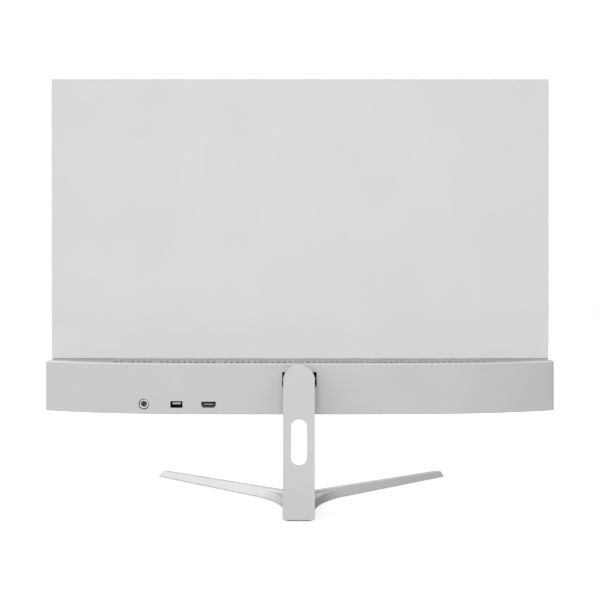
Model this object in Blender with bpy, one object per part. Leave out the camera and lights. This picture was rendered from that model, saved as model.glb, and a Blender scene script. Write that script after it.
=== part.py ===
"""All-in-one desktop computer: a thin display, an electronics housing below it,
and a leaning post on a low base with two legs in a V.

Every size here is in millimetres; add_mesh() turns them into metres.
The screen faces -Y, the connectors face +Y, and Z = 0 is the desk. The origin is
below the middle of the machine. The panel's back plane is Y = 0.
"""

import math

import bmesh
import bpy
from mathutils import Matrix, Vector

MM = 0.001
GAP = 0.3                    # clearance between neighbouring pieces

# Display and housing
WIDTH = 540.0                # outer width of display and housing
TOP_Z = 453.0                # top edge of the display
SPLIT_Z = 149.0              # joint between the display and the housing
BOTTOM_Z = 96.0              # underside of the housing
FRONT_Y = -9.0               # front face of glass and lower cover
COVER_WALL = 1.5             # back cover sheet
LOWER_WALL = 1.8             # front lower cover
GLASS_T = 1.0
HOUSING_WALL = 2.2
HOUSING_FRONT_Y = -1.5       # front edge of the rear housing
DEPTH_MID = 57.0             # housing depth behind the panel plane, in the middle
DEPTH_END = 23.0             # the same at either end
BOW_POWER = 3.6              # how late the bow turns in towards the ends
TOP_FALL = 0.0105            # fall of the housing's top per mm of depth
BOW_STEPS = 40

# Air slots
SLOT_PITCH = 6.1
SLOT_WIDTH = 3.0
SLOT_LENGTH = 20.0
SLOT_SETBACK = 13.5          # from the slot's middle to the rear face
SLOT_HALF_COUNT = 32
SLOT_RIBS = (179.0, 150.0, 80.0, -178.0)   # wider ribs in the row

# Connectors: place across the machine, height of their row
PORT_Z = 106.0
DC_X = 160.0
USB_X = 126.0
HDMI_X = 93.0
USB_HALF = (6.05, 3.15)      # half width and half height of the shell
USB_SHEET = 0.45
HDMI_HALF = (7.2, 2.8)
HDMI_CORNER = 2.0            # lower corners cut off
DC_R = 5.2
DC_BORE_R = 2.8
DC_MOUTH_R = 4.5             # flared mouth of the power inlet
DC_MOUTH_DEPTH = 2.0
DC_PIN_R = 1.0
PORT_RECESS = 0.6            # from the housing's face to a connector's face

# Tilt hinge
AXIS_Y = 46.0
AXIS_Z = 131.7
SHAFT_R = 4.0
WINDOW_W = 35.2
WINDOW_H = 15.3
BARREL_HALF = 10.0
BARREL_R = 6.8
EAR_X = 24.0                 # inner face of a bracket's ear
EAR_T = 3.0
BRACKET_Z = (120.0, 142.0)
ARM_Z = (118.0, 144.5)
ARM_PLATE_T = 3.0
ARM_HALF_T = 3.4             # half thickness of the arm's bridge
ARM_SCREWS = (141.0, 121.6)  # heights of the upper and lower screw

# Post
POST_W = 31.2
POST_T = 8.0
POST_TOP_Z = 149.0
POST_TOP_Y = 83.0            # rear face, at the top
POST_FOOT_Y = 110.0          # rear face, at the desk
CABLE_SLOT_W = 15.8
CABLE_SLOT_LOW = 52.4
CABLE_SLOT_HIGH = 96.3
LEAN = math.atan2(POST_FOOT_Y - POST_TOP_Y, POST_TOP_Z)

# Base
LEG_ANGLE = math.radians(40.8)   # from the X axis, running forward
LEG_START_X = 54.5           # where a leg's rear edge crosses the panel plane
BASE_FRONT = 109.4           # how far the tips reach in front of the panel plane
TIP_CUT = 13.0               # from there back along a leg's rear edge to its slanted end
LEG_H_HUB = 10.0
LEG_H_TIP = 6.6
LEG_W_HUB = 15.0
LEG_W_TIP = 12.0
LEG_EDGE = 2.0               # upright lower edge of a leg's rear face
DECK_Z = 8.2
TAIL_HALF = 15.0
TAIL_END = 100.0
SWEEP_R = 100.0              # concave sweep from leg to tail
BASE_Z = 0.8                 # underside of the base over the desk
PAD_TOP = 2.6
POST_PAD_Y = 104.4
TONGUE_HALF = 11.0
TONGUE_Z = (1.5, 4.6)
TONGUE_SCREWS = (62.0, 84.0) # their places along Y

# Inside the housing
BOARD_X = (-62.0, 206.0)
BOARD_Y = (0.0, 40.0)
BOARD_Z = (101.0, 102.6)
FAN_X = -129.0
FAN_Y = 24.5
FAN_Z = (113.0, 125.0)
BUTTON_X = 236.0
BUTTON_Y = 8.0
SCREW_PLACES = ((190.0, 28.0), (-190.0, 28.0))


# ---------------------------------------------------------------- materials

def make_material(name, colour, rough, metal):
    """A Principled material with one colour."""
    mat = bpy.data.materials.new(name)
    mat.use_nodes = True
    shader = mat.node_tree.nodes["Principled BSDF"]
    shader.inputs["Base Color"].default_value = (*colour, 1.0)
    shader.inputs["Roughness"].default_value = rough
    shader.inputs["Metallic"].default_value = metal
    mat.diffuse_color = (*colour, 1.0)
    return mat


FINISHES = {
    "silver_paint": ((0.70, 0.70, 0.70), 0.45, 0.3),
    "housing_plastic": ((0.60, 0.60, 0.61), 0.5, 0.0),
    "stand_metal": ((0.62, 0.62, 0.63), 0.4, 0.6),
    "black_plastic": ((0.02, 0.02, 0.022), 0.5, 0.0),
    "light_insulator": ((0.60, 0.60, 0.60), 0.5, 0.0),
    "grey_insulator": ((0.20, 0.20, 0.21), 0.5, 0.0),
    "front_glass": ((0.01, 0.01, 0.012), 0.08, 0.0),
    "sheet_steel": ((0.45, 0.46, 0.47), 0.35, 1.0),
    "bright_steel": ((0.65, 0.65, 0.66), 0.25, 1.0),
    "circuit_board": ((0.02, 0.13, 0.07), 0.5, 0.0),
    "copper_pipe": ((0.72, 0.34, 0.20), 0.3, 1.0),
    "aluminium_fins": ((0.75, 0.76, 0.77), 0.35, 1.0),
    "clear_acrylic": ((0.85, 0.88, 0.90), 0.1, 0.0),
    "rubber": ((0.03, 0.03, 0.03), 0.8, 0.0),
    "orange_film": ((0.55, 0.25, 0.04), 0.4, 0.0),
}


# ---------------------------------------------------------------- mesh helpers

def add_mesh(name, bm, finish, parent=None, origin=(0.0, 0.0, 0.0)):
    """Turn a bmesh in millimetres into an object whose origin is at `origin`."""
    bmesh.ops.translate(bm, verts=bm.verts, vec=-Vector(origin))
    bmesh.ops.scale(bm, verts=bm.verts, vec=(MM, MM, MM))
    bmesh.ops.recalc_face_normals(bm, faces=bm.faces)
    mesh = bpy.data.meshes.new(name)
    bm.to_mesh(mesh)
    bm.free()
    obj = bpy.data.objects.new(name, mesh)
    obj.location = Vector(origin) * MM
    bpy.context.collection.objects.link(obj)
    if finish:
        colour, rough, metal = FINISHES[finish]
        mesh.materials.append(make_material(name, colour, rough, metal))
    if parent:
        obj.parent = parent
        obj.matrix_parent_inverse = Matrix.Translation(parent.location).inverted()
    return obj


def box_mesh(lo, hi, bm=None):
    """A closed box from its lowest to its highest corner."""
    bm = bm or bmesh.new()
    centre = (Vector(lo) + Vector(hi)) / 2
    size = Vector(hi) - Vector(lo)
    made = bmesh.ops.create_cube(bm, size=1.0)
    bmesh.ops.scale(bm, verts=made["verts"], vec=size)
    bmesh.ops.translate(bm, verts=made["verts"], vec=centre)
    return bm


def prism_mesh(outline, axis, low, high, bm=None):
    """Extrude a closed 2-D outline along an axis ('X', 'Y' or 'Z').

    The outline's pairs are (y, z), (x, z) or (x, y), in that order.
    """
    bm = bm or bmesh.new()
    place = {
        "X": lambda p, h: (h, p[0], p[1]),
        "Y": lambda p, h: (p[0], h, p[1]),
        "Z": lambda p, h: (p[0], p[1], h),
    }[axis]
    low_ring = [bm.verts.new(place(p, low)) for p in outline]
    high_ring = [bm.verts.new(place(p, high)) for p in outline]
    bm.faces.new(low_ring)
    bm.faces.new(high_ring)
    for i, vert in enumerate(low_ring):
        j = (i + 1) % len(outline)
        bm.faces.new((vert, low_ring[j], high_ring[j], high_ring[i]))
    return bm


def arc(cx, cy, radius, start, end, steps):
    """Points on an arc, angles in degrees, both ends included."""
    angles = [math.radians(start + (end - start) * i / steps) for i in range(steps + 1)]
    return [(cx + radius * math.cos(a), cy + radius * math.sin(a)) for a in angles]


def circle(cx, cy, radius, sides):
    """A closed ring of points."""
    return arc(cx, cy, radius, 0, 360, sides)[:-1]


def stadium(cx, cy, length, width, steps, upright=False):
    """A slot outline with round ends, lying along the first or second axis."""
    half = (length - width) / 2
    radius = width / 2
    points = arc(half, 0, radius, -90, 90, steps) + arc(-half, 0, radius, 90, 270, steps)
    if upright:
        points = [(-y, x) for x, y in points]
    return [(cx + x, cy + y) for x, y in points]


def bevel_where(bm, test, width, segments):
    """Round the edges whose two ends pass the test."""
    bmesh.ops.recalc_face_normals(bm, faces=bm.faces)
    edges = [e for e in bm.edges if test(e.verts[0].co, e.verts[1].co)]
    bmesh.ops.bevel(bm, geom=edges, offset=width, segments=segments, profile=0.5, affect="EDGES")


def boolean(obj, cutter_mesh, operation="DIFFERENCE"):
    """Cut or join `obj` with a helper mesh that isn't part of the model."""
    cutter = add_mesh(f"{obj.name}_helper_{len(obj.modifiers)}", cutter_mesh, None)
    cutter.hide_render = True
    cutter.display_type = "WIRE"
    cutter.parent = obj.parent
    if obj.parent:
        cutter.matrix_parent_inverse = Matrix.Translation(obj.parent.location).inverted()
    modifier = obj.modifiers.new(operation.lower(), "BOOLEAN")
    modifier.operation = operation
    modifier.object = cutter
    return obj


def add_box(name, lo, hi, finish, parent=None, edge=0.0):
    """A box piece, with its edges broken when `edge` is given."""
    bm = box_mesh(lo, hi)
    if edge:
        bmesh.ops.bevel(bm, geom=bm.edges[:], offset=edge, segments=1, affect="EDGES")
    return add_mesh(name, bm, finish, parent)


def round_shading(obj, degrees=35.0):
    """Smooth shading with sharp edges kept."""
    obj.data.shade_smooth()
    obj.data.set_sharp_from_angle(angle=math.radians(degrees))


# ---------------------------------------------------------------- display

def build_display(head):
    """Glass, display cell, backlight and back cover."""
    half = WIDTH / 2
    low = SPLIT_Z + GAP
    cover = add_box("display_back_cover", (-half, FRONT_Y + GLASS_T + GAP, low), (half, 0, TOP_Z),
                    "silver_paint", head, edge=0.4)
    hollow = box_mesh((-half + COVER_WALL, FRONT_Y - 5, low + COVER_WALL),
                      (half - COVER_WALL, -COVER_WALL, TOP_Z - COVER_WALL))
    boolean(cover, hollow)
    neck_gap = box_mesh((-205, FRONT_Y - 4, low - 2), (205, -COVER_WALL, low + 3))
    boolean(cover, neck_gap)

    lip = 0.2
    add_box("screen_glass", (-half + lip, FRONT_Y, low + lip), (half - lip, FRONT_Y + GLASS_T, TOP_Z - lip),
            "front_glass", head, edge=GAP)
    stack = half - 4.0
    layers = (
        ("display_cell", 1.3, 2.5, 151.9, "black_plastic"),
        ("light_guide", 2.8, 4.6, 157.0, "clear_acrylic"),
    )
    for name, front, back, base, finish in layers:
        add_box(name, (-stack, FRONT_Y + front, base), (stack, FRONT_Y + back, TOP_Z - 3.6),
                finish, head)
    add_box("light_bar", (-stack, FRONT_Y + 2.8, 152.0), (stack, FRONT_Y + 4.6, 156.7),
            "circuit_board", head)
    add_box("backlight_tray", (-stack, FRONT_Y + 4.9, 151.9), (stack, FRONT_Y + 5.8, TOP_Z - 3.6),
            "sheet_steel", head)
    add_box("camera_module", (-9, FRONT_Y + 1.3, TOP_Z - 3.3), (9, FRONT_Y + 4.0, TOP_Z - 1.8),
            "black_plastic", head)


def build_front_cover(head):
    """The lower front cover, a tray open to the rear and at the top."""
    half = WIDTH / 2
    cover = add_box("front_lower_cover", (-half, FRONT_Y, BOTTOM_Z), (half, HOUSING_FRONT_Y - GAP, SPLIT_Z),
                    "silver_paint", head, edge=0.5)
    hollow = box_mesh((-half + LOWER_WALL, FRONT_Y + LOWER_WALL, BOTTOM_Z + LOWER_WALL),
                      (half - LOWER_WALL, 5, SPLIT_Z + 5))
    boolean(cover, hollow)


def build_chassis(head):
    """Steel sheet with a bottom flange; it carries display, board and hinge."""
    back = HOUSING_FRONT_Y - GAP
    profile = [(back - 1, 98.5), (38, 98.5), (38, 99.5), (back, 99.5), (back, 300), (back - 1, 300)]
    chassis = add_mesh("chassis_plate", prism_mesh(profile, "X", -200, 200), "sheet_steel", head)
    windows = bmesh.new()
    box_mesh((42, -6, 138), (60, 2, 160), windows)
    for side in (-1, 1):
        for place in (70, 130):
            outline = stadium(side * place, 235, 90, 36, 4, upright=True)
            prism_mesh(outline, "Y", -6, 0, windows)
    for x, y in SCREW_PLACES:
        prism_mesh(circle(x, y, 1.9, 10), "Z", 97, 101, windows)
    boolean(chassis, windows)


# ---------------------------------------------------------------- rear housing

def depth_at(x):
    """Housing depth behind the panel plane at a place across the machine."""
    share = min(abs(x) / (WIDTH / 2), 1.0)
    return DEPTH_MID - (DEPTH_MID - DEPTH_END) * share ** BOW_POWER


def bow_outline(inset, front):
    """Plan outline of the housing, moved in by a wall's thickness."""
    half = WIDTH / 2 - inset
    rear = []
    for i in range(BOW_STEPS + 1):
        x = half * (2 * i / BOW_STEPS - 1)
        rear.append((x, depth_at(x) - inset))
    return [(-half, front)] + rear + [(half, front)]


def bow_body(inset, front, low, high):
    """Housing-shaped solid, whose top falls towards the rear."""
    bm = prism_mesh(bow_outline(inset, front), "Z", low, high)
    for vert in bm.verts:
        if vert.co.z > high - 1:
            vert.co.z = high - TOP_FALL * vert.co.y
    return bm


def slot_places():
    """Places of the air slots across the machine, without the ribs."""
    places = [(i + 0.5) * SLOT_PITCH for i in range(-SLOT_HALF_COUNT, SLOT_HALF_COUNT)]
    return [x for x in places if all(abs(x - rib) > SLOT_PITCH / 2 for rib in SLOT_RIBS)]


def housing_openings():
    """Cutters for slots, connectors, hinge window, button and screws."""
    bm = bmesh.new()
    for x in slot_places():
        middle = depth_at(x) - SLOT_SETBACK
        outline = stadium(x, middle, SLOT_LENGTH, SLOT_WIDTH, 2, upright=True)
        prism_mesh(outline, "Z", SPLIT_Z - 8, SPLIT_Z + 4, bm)
    floor = (BOTTOM_Z - 3, BOTTOM_Z + HOUSING_WALL + 0.2)
    for group, count, y in ((FAN_X, 9, FAN_Y), (-232, 6, 12), (214, 4, 24)):
        for i in range(count):
            x = group + (i - (count - 1) / 2) * SLOT_PITCH * 0.9
            length = 30 if group == FAN_X else 9
            prism_mesh(stadium(x, y, length, 2.4, 2, upright=True), "Z", *floor, bm)
    prism_mesh(stadium(BUTTON_X, BUTTON_Y, 14.6, 5.6, 4), "Z", *floor, bm)
    for x, y in SCREW_PLACES:
        stepped_hole(x, y, (BOTTOM_Z - 2, BOTTOM_Z + 1.0, BOTTOM_Z + 3), 3.3, 1.9, bm)
    return bm


def hdmi_outline(grow):
    """Connector outline: wide top, lower corners cut off."""
    half, high = (size + grow for size in HDMI_HALF)
    return [(HDMI_X + x, PORT_Z + z) for x, z in (
        (-half, high), (half, high), (half, HDMI_CORNER - high), (half - HDMI_CORNER, -high),
        (HDMI_CORNER - half, -high), (-half, HDMI_CORNER - high))]


def port_openings():
    """Cutters for the three connectors and the hinge window, along Y."""
    wide, high = (size + GAP for size in USB_HALF)
    bm = box_mesh((USB_X - wide, 35, PORT_Z - high), (USB_X + wide, 70, PORT_Z + high))
    prism_mesh(hdmi_outline(GAP), "Y", 35, 70, bm)
    prism_mesh(circle(DC_X, PORT_Z, DC_R + GAP, 20), "Y", 35, 70, bm)
    box_mesh((-WINDOW_W / 2, 50, AXIS_Z - WINDOW_H / 2), (WINDOW_W / 2, 70, AXIS_Z + WINDOW_H / 2), bm)
    return bm


def build_rear_housing(head):
    """The bowed plastic shell with all its openings."""
    bm = bow_body(0.0, HOUSING_FRONT_Y - 12, BOTTOM_Z, SPLIT_Z)
    half = WIDTH / 2

    def on_rim(a, b):
        return max(a.y, b.y) > 0 and all(v.y > 0 or abs(v.x) > half - 0.1 for v in (a, b))

    bevel_where(bm, lambda a, b: min(a.z, b.z) > SPLIT_Z - 6 and on_rim(a, b), 2.6, 4)
    bevel_where(bm, lambda a, b: max(a.z, b.z) < BOTTOM_Z + 0.1 and on_rim(a, b), 0.8, 2)
    keep_side(bm, (0, HOUSING_FRONT_Y, 0), (0, 1, 0))
    shell = add_mesh("rear_housing", bm, "housing_plastic", head)
    boolean(shell, bow_body(HOUSING_WALL, -6, BOTTOM_Z + HOUSING_WALL, SPLIT_Z - HOUSING_WALL))
    boolean(shell, housing_openings())
    boolean(shell, port_openings())
    round_shading(shell, 30)


def build_housing_screws(head):
    """Pan-head screws that hold the housing to the chassis flange."""
    for side, (x, y) in zip(("left", "right"), SCREW_PLACES):
        bm = turned([(0, BOTTOM_Z + 0.1), (2.6, BOTTOM_Z + 0.1), (2.6, BOTTOM_Z + 0.7),
                     (1.5, BOTTOM_Z + 0.7), (1.5, 100.6), (0, 100.6)], x, y, 12)
        round_shading(add_mesh(f"housing_screw_{side}", bm, "bright_steel", head))


def turned(profile, x, y, sides, axis="Z", bm=None):
    """A solid of revolution from (radius, height) pairs that start and end at radius 0."""
    bm = bm or bmesh.new()
    rings = []
    for radius, height in profile:
        points = circle(0, 0, radius, sides) if radius else [(0, 0)]
        rings.append([bm.verts.new((px, py, height)) for px, py in points])
    for low, high in zip(rings, rings[1:]):
        for i in range(sides):
            j = (i + 1) % sides
            if len(low) == 1:
                bm.faces.new((low[0], high[i], high[j]))
            elif len(high) == 1:
                bm.faces.new((low[i], low[j], high[0]))
            else:
                bm.faces.new((low[i], low[j], high[j], high[i]))
    made = [vert for ring in rings for vert in ring]
    turn = {"Z": Matrix.Identity(3), "X": Matrix.Rotation(math.pi / 2, 3, "Y"),
            "Y": Matrix.Rotation(-math.pi / 2, 3, "X")}[axis]
    bmesh.ops.rotate(bm, verts=made, cent=(0, 0, 0), matrix=turn)
    shift = {"Z": (x, y, 0), "X": (0, x, y), "Y": (x, 0, y)}[axis]
    bmesh.ops.translate(bm, verts=made, vec=shift)
    return bm


def stepped_hole(x, y, levels, wide, narrow, bm):
    """An upright screw hole: wide from the first level to the second, then narrow."""
    low, step, high = levels
    profile = [(0, low), (wide, low), (wide, step), (narrow, step), (narrow, high), (0, high)]
    return turned(profile, x, y, 12, "Z", bm)


# ---------------------------------------------------------------- connectors

def build_ports(head):
    """Three sockets on the rear edge of the board, each a shell and an inner contact."""
    wide, high = USB_HALF
    face = depth_at(USB_X) - PORT_RECESS
    shell = add_box("usb_port_shell", (USB_X - wide, 36, PORT_Z - high), (USB_X + wide, face, PORT_Z + high),
                    "bright_steel", head)
    wide, high = (size - USB_SHEET for size in USB_HALF)
    boolean(shell, box_mesh((USB_X - wide, 37, PORT_Z - high), (USB_X + wide, face + 5, PORT_Z + high)))
    add_box("usb_port_tongue", (USB_X - 4.2, 37 + GAP, PORT_Z), (USB_X + 4.2, face - 1, PORT_Z + 2.0),
            "light_insulator", head)

    face = depth_at(HDMI_X) - PORT_RECESS
    shell = add_mesh("hdmi_port_shell", prism_mesh(hdmi_outline(0.0), "Y", 38, face), "bright_steel", head)
    boolean(shell, prism_mesh(hdmi_outline(-USB_SHEET), "Y", 39, face + 5))
    add_box("hdmi_port_tongue", (HDMI_X - 5, 39 + GAP, PORT_Z - 0.5), (HDMI_X + 5, face - 1, PORT_Z + 0.9),
            "grey_insulator", head)
    build_dc_jack(head)


def build_dc_jack(head):
    """Power inlet: a barrel with a flared mouth, and its pin."""
    face = depth_at(DC_X) - PORT_RECESS - GAP
    rear = BOARD_Y[1] + GAP
    floor = rear + 1.7
    barrel = turned([(0, rear), (DC_R, rear), (DC_R, face), (0, face)], DC_X, PORT_Z, 24, "Y")
    shell = add_mesh("dc_jack_shell", barrel, "bright_steel", head)
    bore = turned([(0, floor), (DC_BORE_R, floor), (DC_BORE_R, face - DC_MOUTH_DEPTH), (DC_MOUTH_R, face),
                   (DC_MOUTH_R, face + 4), (0, face + 4)], DC_X, PORT_Z, 24, "Y")
    round_shading(boolean(shell, bore))
    tip = face - DC_MOUTH_DEPTH
    pin = turned([(0, floor + GAP), (DC_PIN_R, floor + GAP), (DC_PIN_R, tip - 0.5), (0, tip)],
                 DC_X, PORT_Z, 12, "Y")
    round_shading(add_mesh("dc_jack_pin", pin, "bright_steel", head))


# ---------------------------------------------------------------- electronics

def build_board(head):
    """Main board with the parts that stand on it."""
    top = BOARD_Z[1] + GAP
    add_box("main_board", (BOARD_X[0], BOARD_Y[0], BOARD_Z[0]), (BOARD_X[1], BOARD_Y[1], BOARD_Z[1]),
            "circuit_board", head)
    pieces = (
        ("processor", (-18, 4), (18, 36), (top, 104.2), "black_plastic"),
        ("cooler_plate", (-21, 2), (21, 38), (104.5, 106.3), "copper_pipe"),
        ("wireless_card", (-58, 4), (-28, 26), (top, 105.3), "circuit_board"),
        ("memory_module", (62, 2), (129.6, 32), (top, 106.7), "circuit_board"),
        ("storage_module", (160, 2), (202, 24), (top, 105.9), "circuit_board"),
    )
    for name, low, high, levels, finish in pieces:
        add_box(name, (*low, levels[0]), (*high, levels[1]), finish, head, edge=0.2)
    cell = turned([(0, top), (9.6, top), (10, top + 0.4), (10, top + 2.8), (9.6, top + 3.2), (0, top + 3.2)],
                  145, 14, 24)
    round_shading(add_mesh("clock_battery", cell, "bright_steel", head))


def ribbon(name, points, width_x, thickness, finish, head):
    """A flat strip that follows (y, z) points, of one thickness."""
    outer = []
    inner = []
    for i, (y, z) in enumerate(points):
        before = Vector(points[max(i - 1, 0)])
        after = Vector(points[min(i + 1, len(points) - 1)])
        along = (after - before).normalized()
        side = Vector((-along.y, along.x)) * thickness / 2
        outer.append((y + side.x, z + side.y))
        inner.append((y - side.x, z - side.y))
    bm = prism_mesh(outer + inner[::-1], "X", *width_x)
    return add_mesh(name, bm, finish, head)


def build_display_cable(head):
    """Flat cable from the board, through the chassis window, to the display."""
    rise = [(4.0 - 5.2 * t ** 1.4, 110 + 34 * t) for t in (i / 6 for i in range(7))]
    points = [(5.5, 103.4), (5.4, 105.5)] + rise + [(-2.2, 147.5), (-2.65, 151), (-2.7, 157)]
    ribbon("display_cable", points, (44, 58), 0.4, "orange_film", head)


def build_cooling(head):
    """Heat pipe, fin stack and blower."""
    pipe = bpy.data.curves.new("heat_pipe", "CURVE")
    pipe.dimensions = "3D"
    pipe.bevel_depth = 2.2 * MM
    pipe.bevel_resolution = 2
    pipe.use_fill_caps = True
    route = pipe.splines.new("POLY")
    steps = 16
    route.points.add(steps)
    for i, point in enumerate(route.points):
        x = 16 - 118 * i / steps
        y = 20 + 7 * math.sin(math.radians(180 * i / steps - 90))
        point.co = (x * MM, y * MM, 108.8 * MM, 1)
    obj = bpy.data.objects.new("heat_pipe", pipe)
    bpy.context.collection.objects.link(obj)
    obj.parent = head
    obj.matrix_parent_inverse = Matrix.Translation(head.location).inverted()
    pipe.materials.append(make_material("heat_pipe", *FINISHES["copper_pipe"]))

    left, right, fins = -98.0, -64.0, 12
    pitch = (right - left - 1.0) / (fins - 1)
    comb = [(left, 111.4), (right, 111.4)]
    for i in reversed(range(fins)):
        x = left + i * pitch
        comb += [(x + 1.0, 125), (x, 125)]
        if i:
            comb += [(x, 112.6), (x - pitch + 1.0, 112.6)]
    add_mesh("fin_stack", prism_mesh(comb, "Y", 2, 47), "aluminium_fins", head)


def build_fan(head):
    """Blower housing, its lid, and the rotor on its own axis."""
    low, high = FAN_Z
    housing = add_box("fan_housing", (FAN_X - 26, FAN_Y - 24.5, low), (FAN_X + 26, FAN_Y + 24.5, high - 1.2),
                      "black_plastic", head, edge=0.5)
    chamber = prism_mesh(circle(FAN_X, FAN_Y, 23, 28), "Z", low + 1.2, high + 3)
    boolean(housing, chamber)
    boolean(housing, box_mesh((FAN_X, FAN_Y - 16, low + 1.2), (FAN_X + 30, FAN_Y + 22, high + 3)))
    boolean(housing, prism_mesh(circle(FAN_X, FAN_Y, 1.5, 12), "Z", low + 0.5, high - 3), "UNION")
    inlet = bmesh.new()
    for turn in range(4):
        angle = 90 * turn
        ring = arc(FAN_X, FAN_Y, 15, angle + 12, angle + 78, 4)
        ring += arc(FAN_X, FAN_Y, 9, angle + 78, angle + 12, 4)
        prism_mesh(ring, "Z", low - 2, low + 1.8, inlet)
    boolean(housing, inlet)

    lid = add_box("fan_lid", (FAN_X - 26, FAN_Y - 24.5, high - 0.9), (FAN_X + 26, FAN_Y + 24.5, high),
                  "sheet_steel", head)
    boolean(lid, prism_mesh(circle(FAN_X, FAN_Y, 15, 24), "Z", high - 3, high + 3))
    build_rotor(head)


def build_rotor(head):
    """Hub with curved blades, one outline; it turns about a vertical axis."""
    blades = 11
    outline = []
    for i in range(blades):
        start = 360 / blades * i
        lean = [(9, 0), (13, 5), (17, 12), (21, 22)]
        front = [(r, start + turn) for r, turn in lean]
        back = [(r, start + turn + 70 / r) for r, turn in reversed(lean)]
        outline += front + back + [(9, start + 360 / blades * 0.72)]
    points = [(r * math.cos(math.radians(a)), r * math.sin(math.radians(a))) for r, a in outline]
    shifted = [(FAN_X + x, FAN_Y + y) for x, y in points]
    low, high = FAN_Z
    axis = (FAN_X, FAN_Y, (low + high) / 2)
    rotor = add_mesh("fan_rotor", prism_mesh(shifted, "Z", low + 1.8, high - 1.6), "black_plastic", head, axis)
    boolean(rotor, prism_mesh(circle(FAN_X, FAN_Y, 1.9, 12), "Z", low, high - 2.6))


def build_speakers(head):
    """A sealed speaker box at each end of the housing."""
    for side, name in ((-1, "speaker_right"), (1, "speaker_left")):
        xs = sorted((side * 206, side * 256))
        add_box(name, (xs[0], 1, 106), (xs[1], 19, 142), "black_plastic", head, edge=1.0)


def build_button(head):
    """Power button in the underside, with its switch above it."""
    low = BOTTOM_Z - 0.6
    axis = (BUTTON_X, BUTTON_Y, low)
    bm = prism_mesh(stadium(BUTTON_X, BUTTON_Y, 14.0, 5.0, 4), "Z", low, BOTTOM_Z + HOUSING_WALL + GAP)
    button = add_mesh("power_button", bm, "silver_paint", head, axis)
    flange = prism_mesh(stadium(BUTTON_X, BUTTON_Y, 17, 8, 4), "Z", BOTTOM_Z + HOUSING_WALL + GAP - 0.01,
                        BOTTOM_Z + HOUSING_WALL + 1.3)
    boolean(button, flange, "UNION")
    add_box("button_switch", (BUTTON_X - 8, BUTTON_Y - 4, 100.7), (BUTTON_X + 8, BUTTON_Y + 4, 103.2),
            "circuit_board", head)


# ---------------------------------------------------------------- tilt hinge

def build_hinge(head):
    """Brackets, shaft, friction discs and nuts, on the tilt axis."""
    back = HOUSING_FRONT_Y
    for side, name in ((-1, "right"), (1, "left")):
        inner, outer = side * EAR_X, side * (EAR_X + EAR_T)
        low, high = BRACKET_Z
        profile = [(back, low), (AXIS_Y, low)] + arc(AXIS_Y, AXIS_Z, 8, -60, 60, 6)
        profile += [(AXIS_Y, high), (back, high)]
        bracket = add_mesh(f"hinge_bracket_{name}", prism_mesh(profile, "X", *sorted((inner, outer))),
                           "sheet_steel", head)
        foot = box_mesh((min(outer, side * 40), back, low), (max(outer, side * 40), back + 2.5, high))
        boolean(bracket, foot, "UNION")
        hole = turned([(0, -60), (SHAFT_R + GAP, -60), (SHAFT_R + GAP, 60), (0, 60)],
                      AXIS_Y, AXIS_Z, 20, "X")
        boolean(bracket, hole)
        disc = ring_mesh(side * (BARREL_HALF + GAP), side * (EAR_X - GAP), SHAFT_R + GAP, 6.6, 20)
        round_shading(add_mesh(f"friction_disc_{name}", disc, "bright_steel", head))
        nut = ring_mesh(side * (EAR_X + EAR_T + GAP), side * (EAR_X + EAR_T + 5), SHAFT_R + GAP, 7.0, 6)
        add_mesh(f"shaft_nut_{name}", nut, "bright_steel", head)
    reach = EAR_X + EAR_T + 7
    shaft = turned([(0, -reach), (SHAFT_R - 0.5, -reach), (SHAFT_R, -reach + 0.5),
                    (SHAFT_R, reach - 0.5), (SHAFT_R - 0.5, reach), (0, reach)], AXIS_Y, AXIS_Z, 20, "X")
    round_shading(add_mesh("hinge_shaft", shaft, "bright_steel", head))


def ring_mesh(x_a, x_b, inner, outer, sides):
    """A thick ring round the tilt axis."""
    bm = bmesh.new()
    low, high = sorted((x_a, x_b))
    inner = inner / math.cos(math.pi / sides)      # the flats clear the shaft too
    loops = []
    for x, radius, count in ((low, outer, sides), (high, outer, sides), (high, inner, sides), (low, inner, sides)):
        points = circle(AXIS_Y, AXIS_Z, radius, count)
        loops.append([bm.verts.new((x, y, z)) for y, z in points])
    for a, b in zip(loops, loops[1:] + loops[:1]):
        for i in range(sides):
            j = (i + 1) % sides
            bm.faces.new((a[i], a[j], b[j], b[i]))
    return bm


def post_face_y(z, depth=0.0):
    """Y of the post's rear face at a height, or of a plane `depth` in front of it."""
    return POST_FOOT_Y - z * math.tan(LEAN) - depth / math.cos(LEAN)


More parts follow.
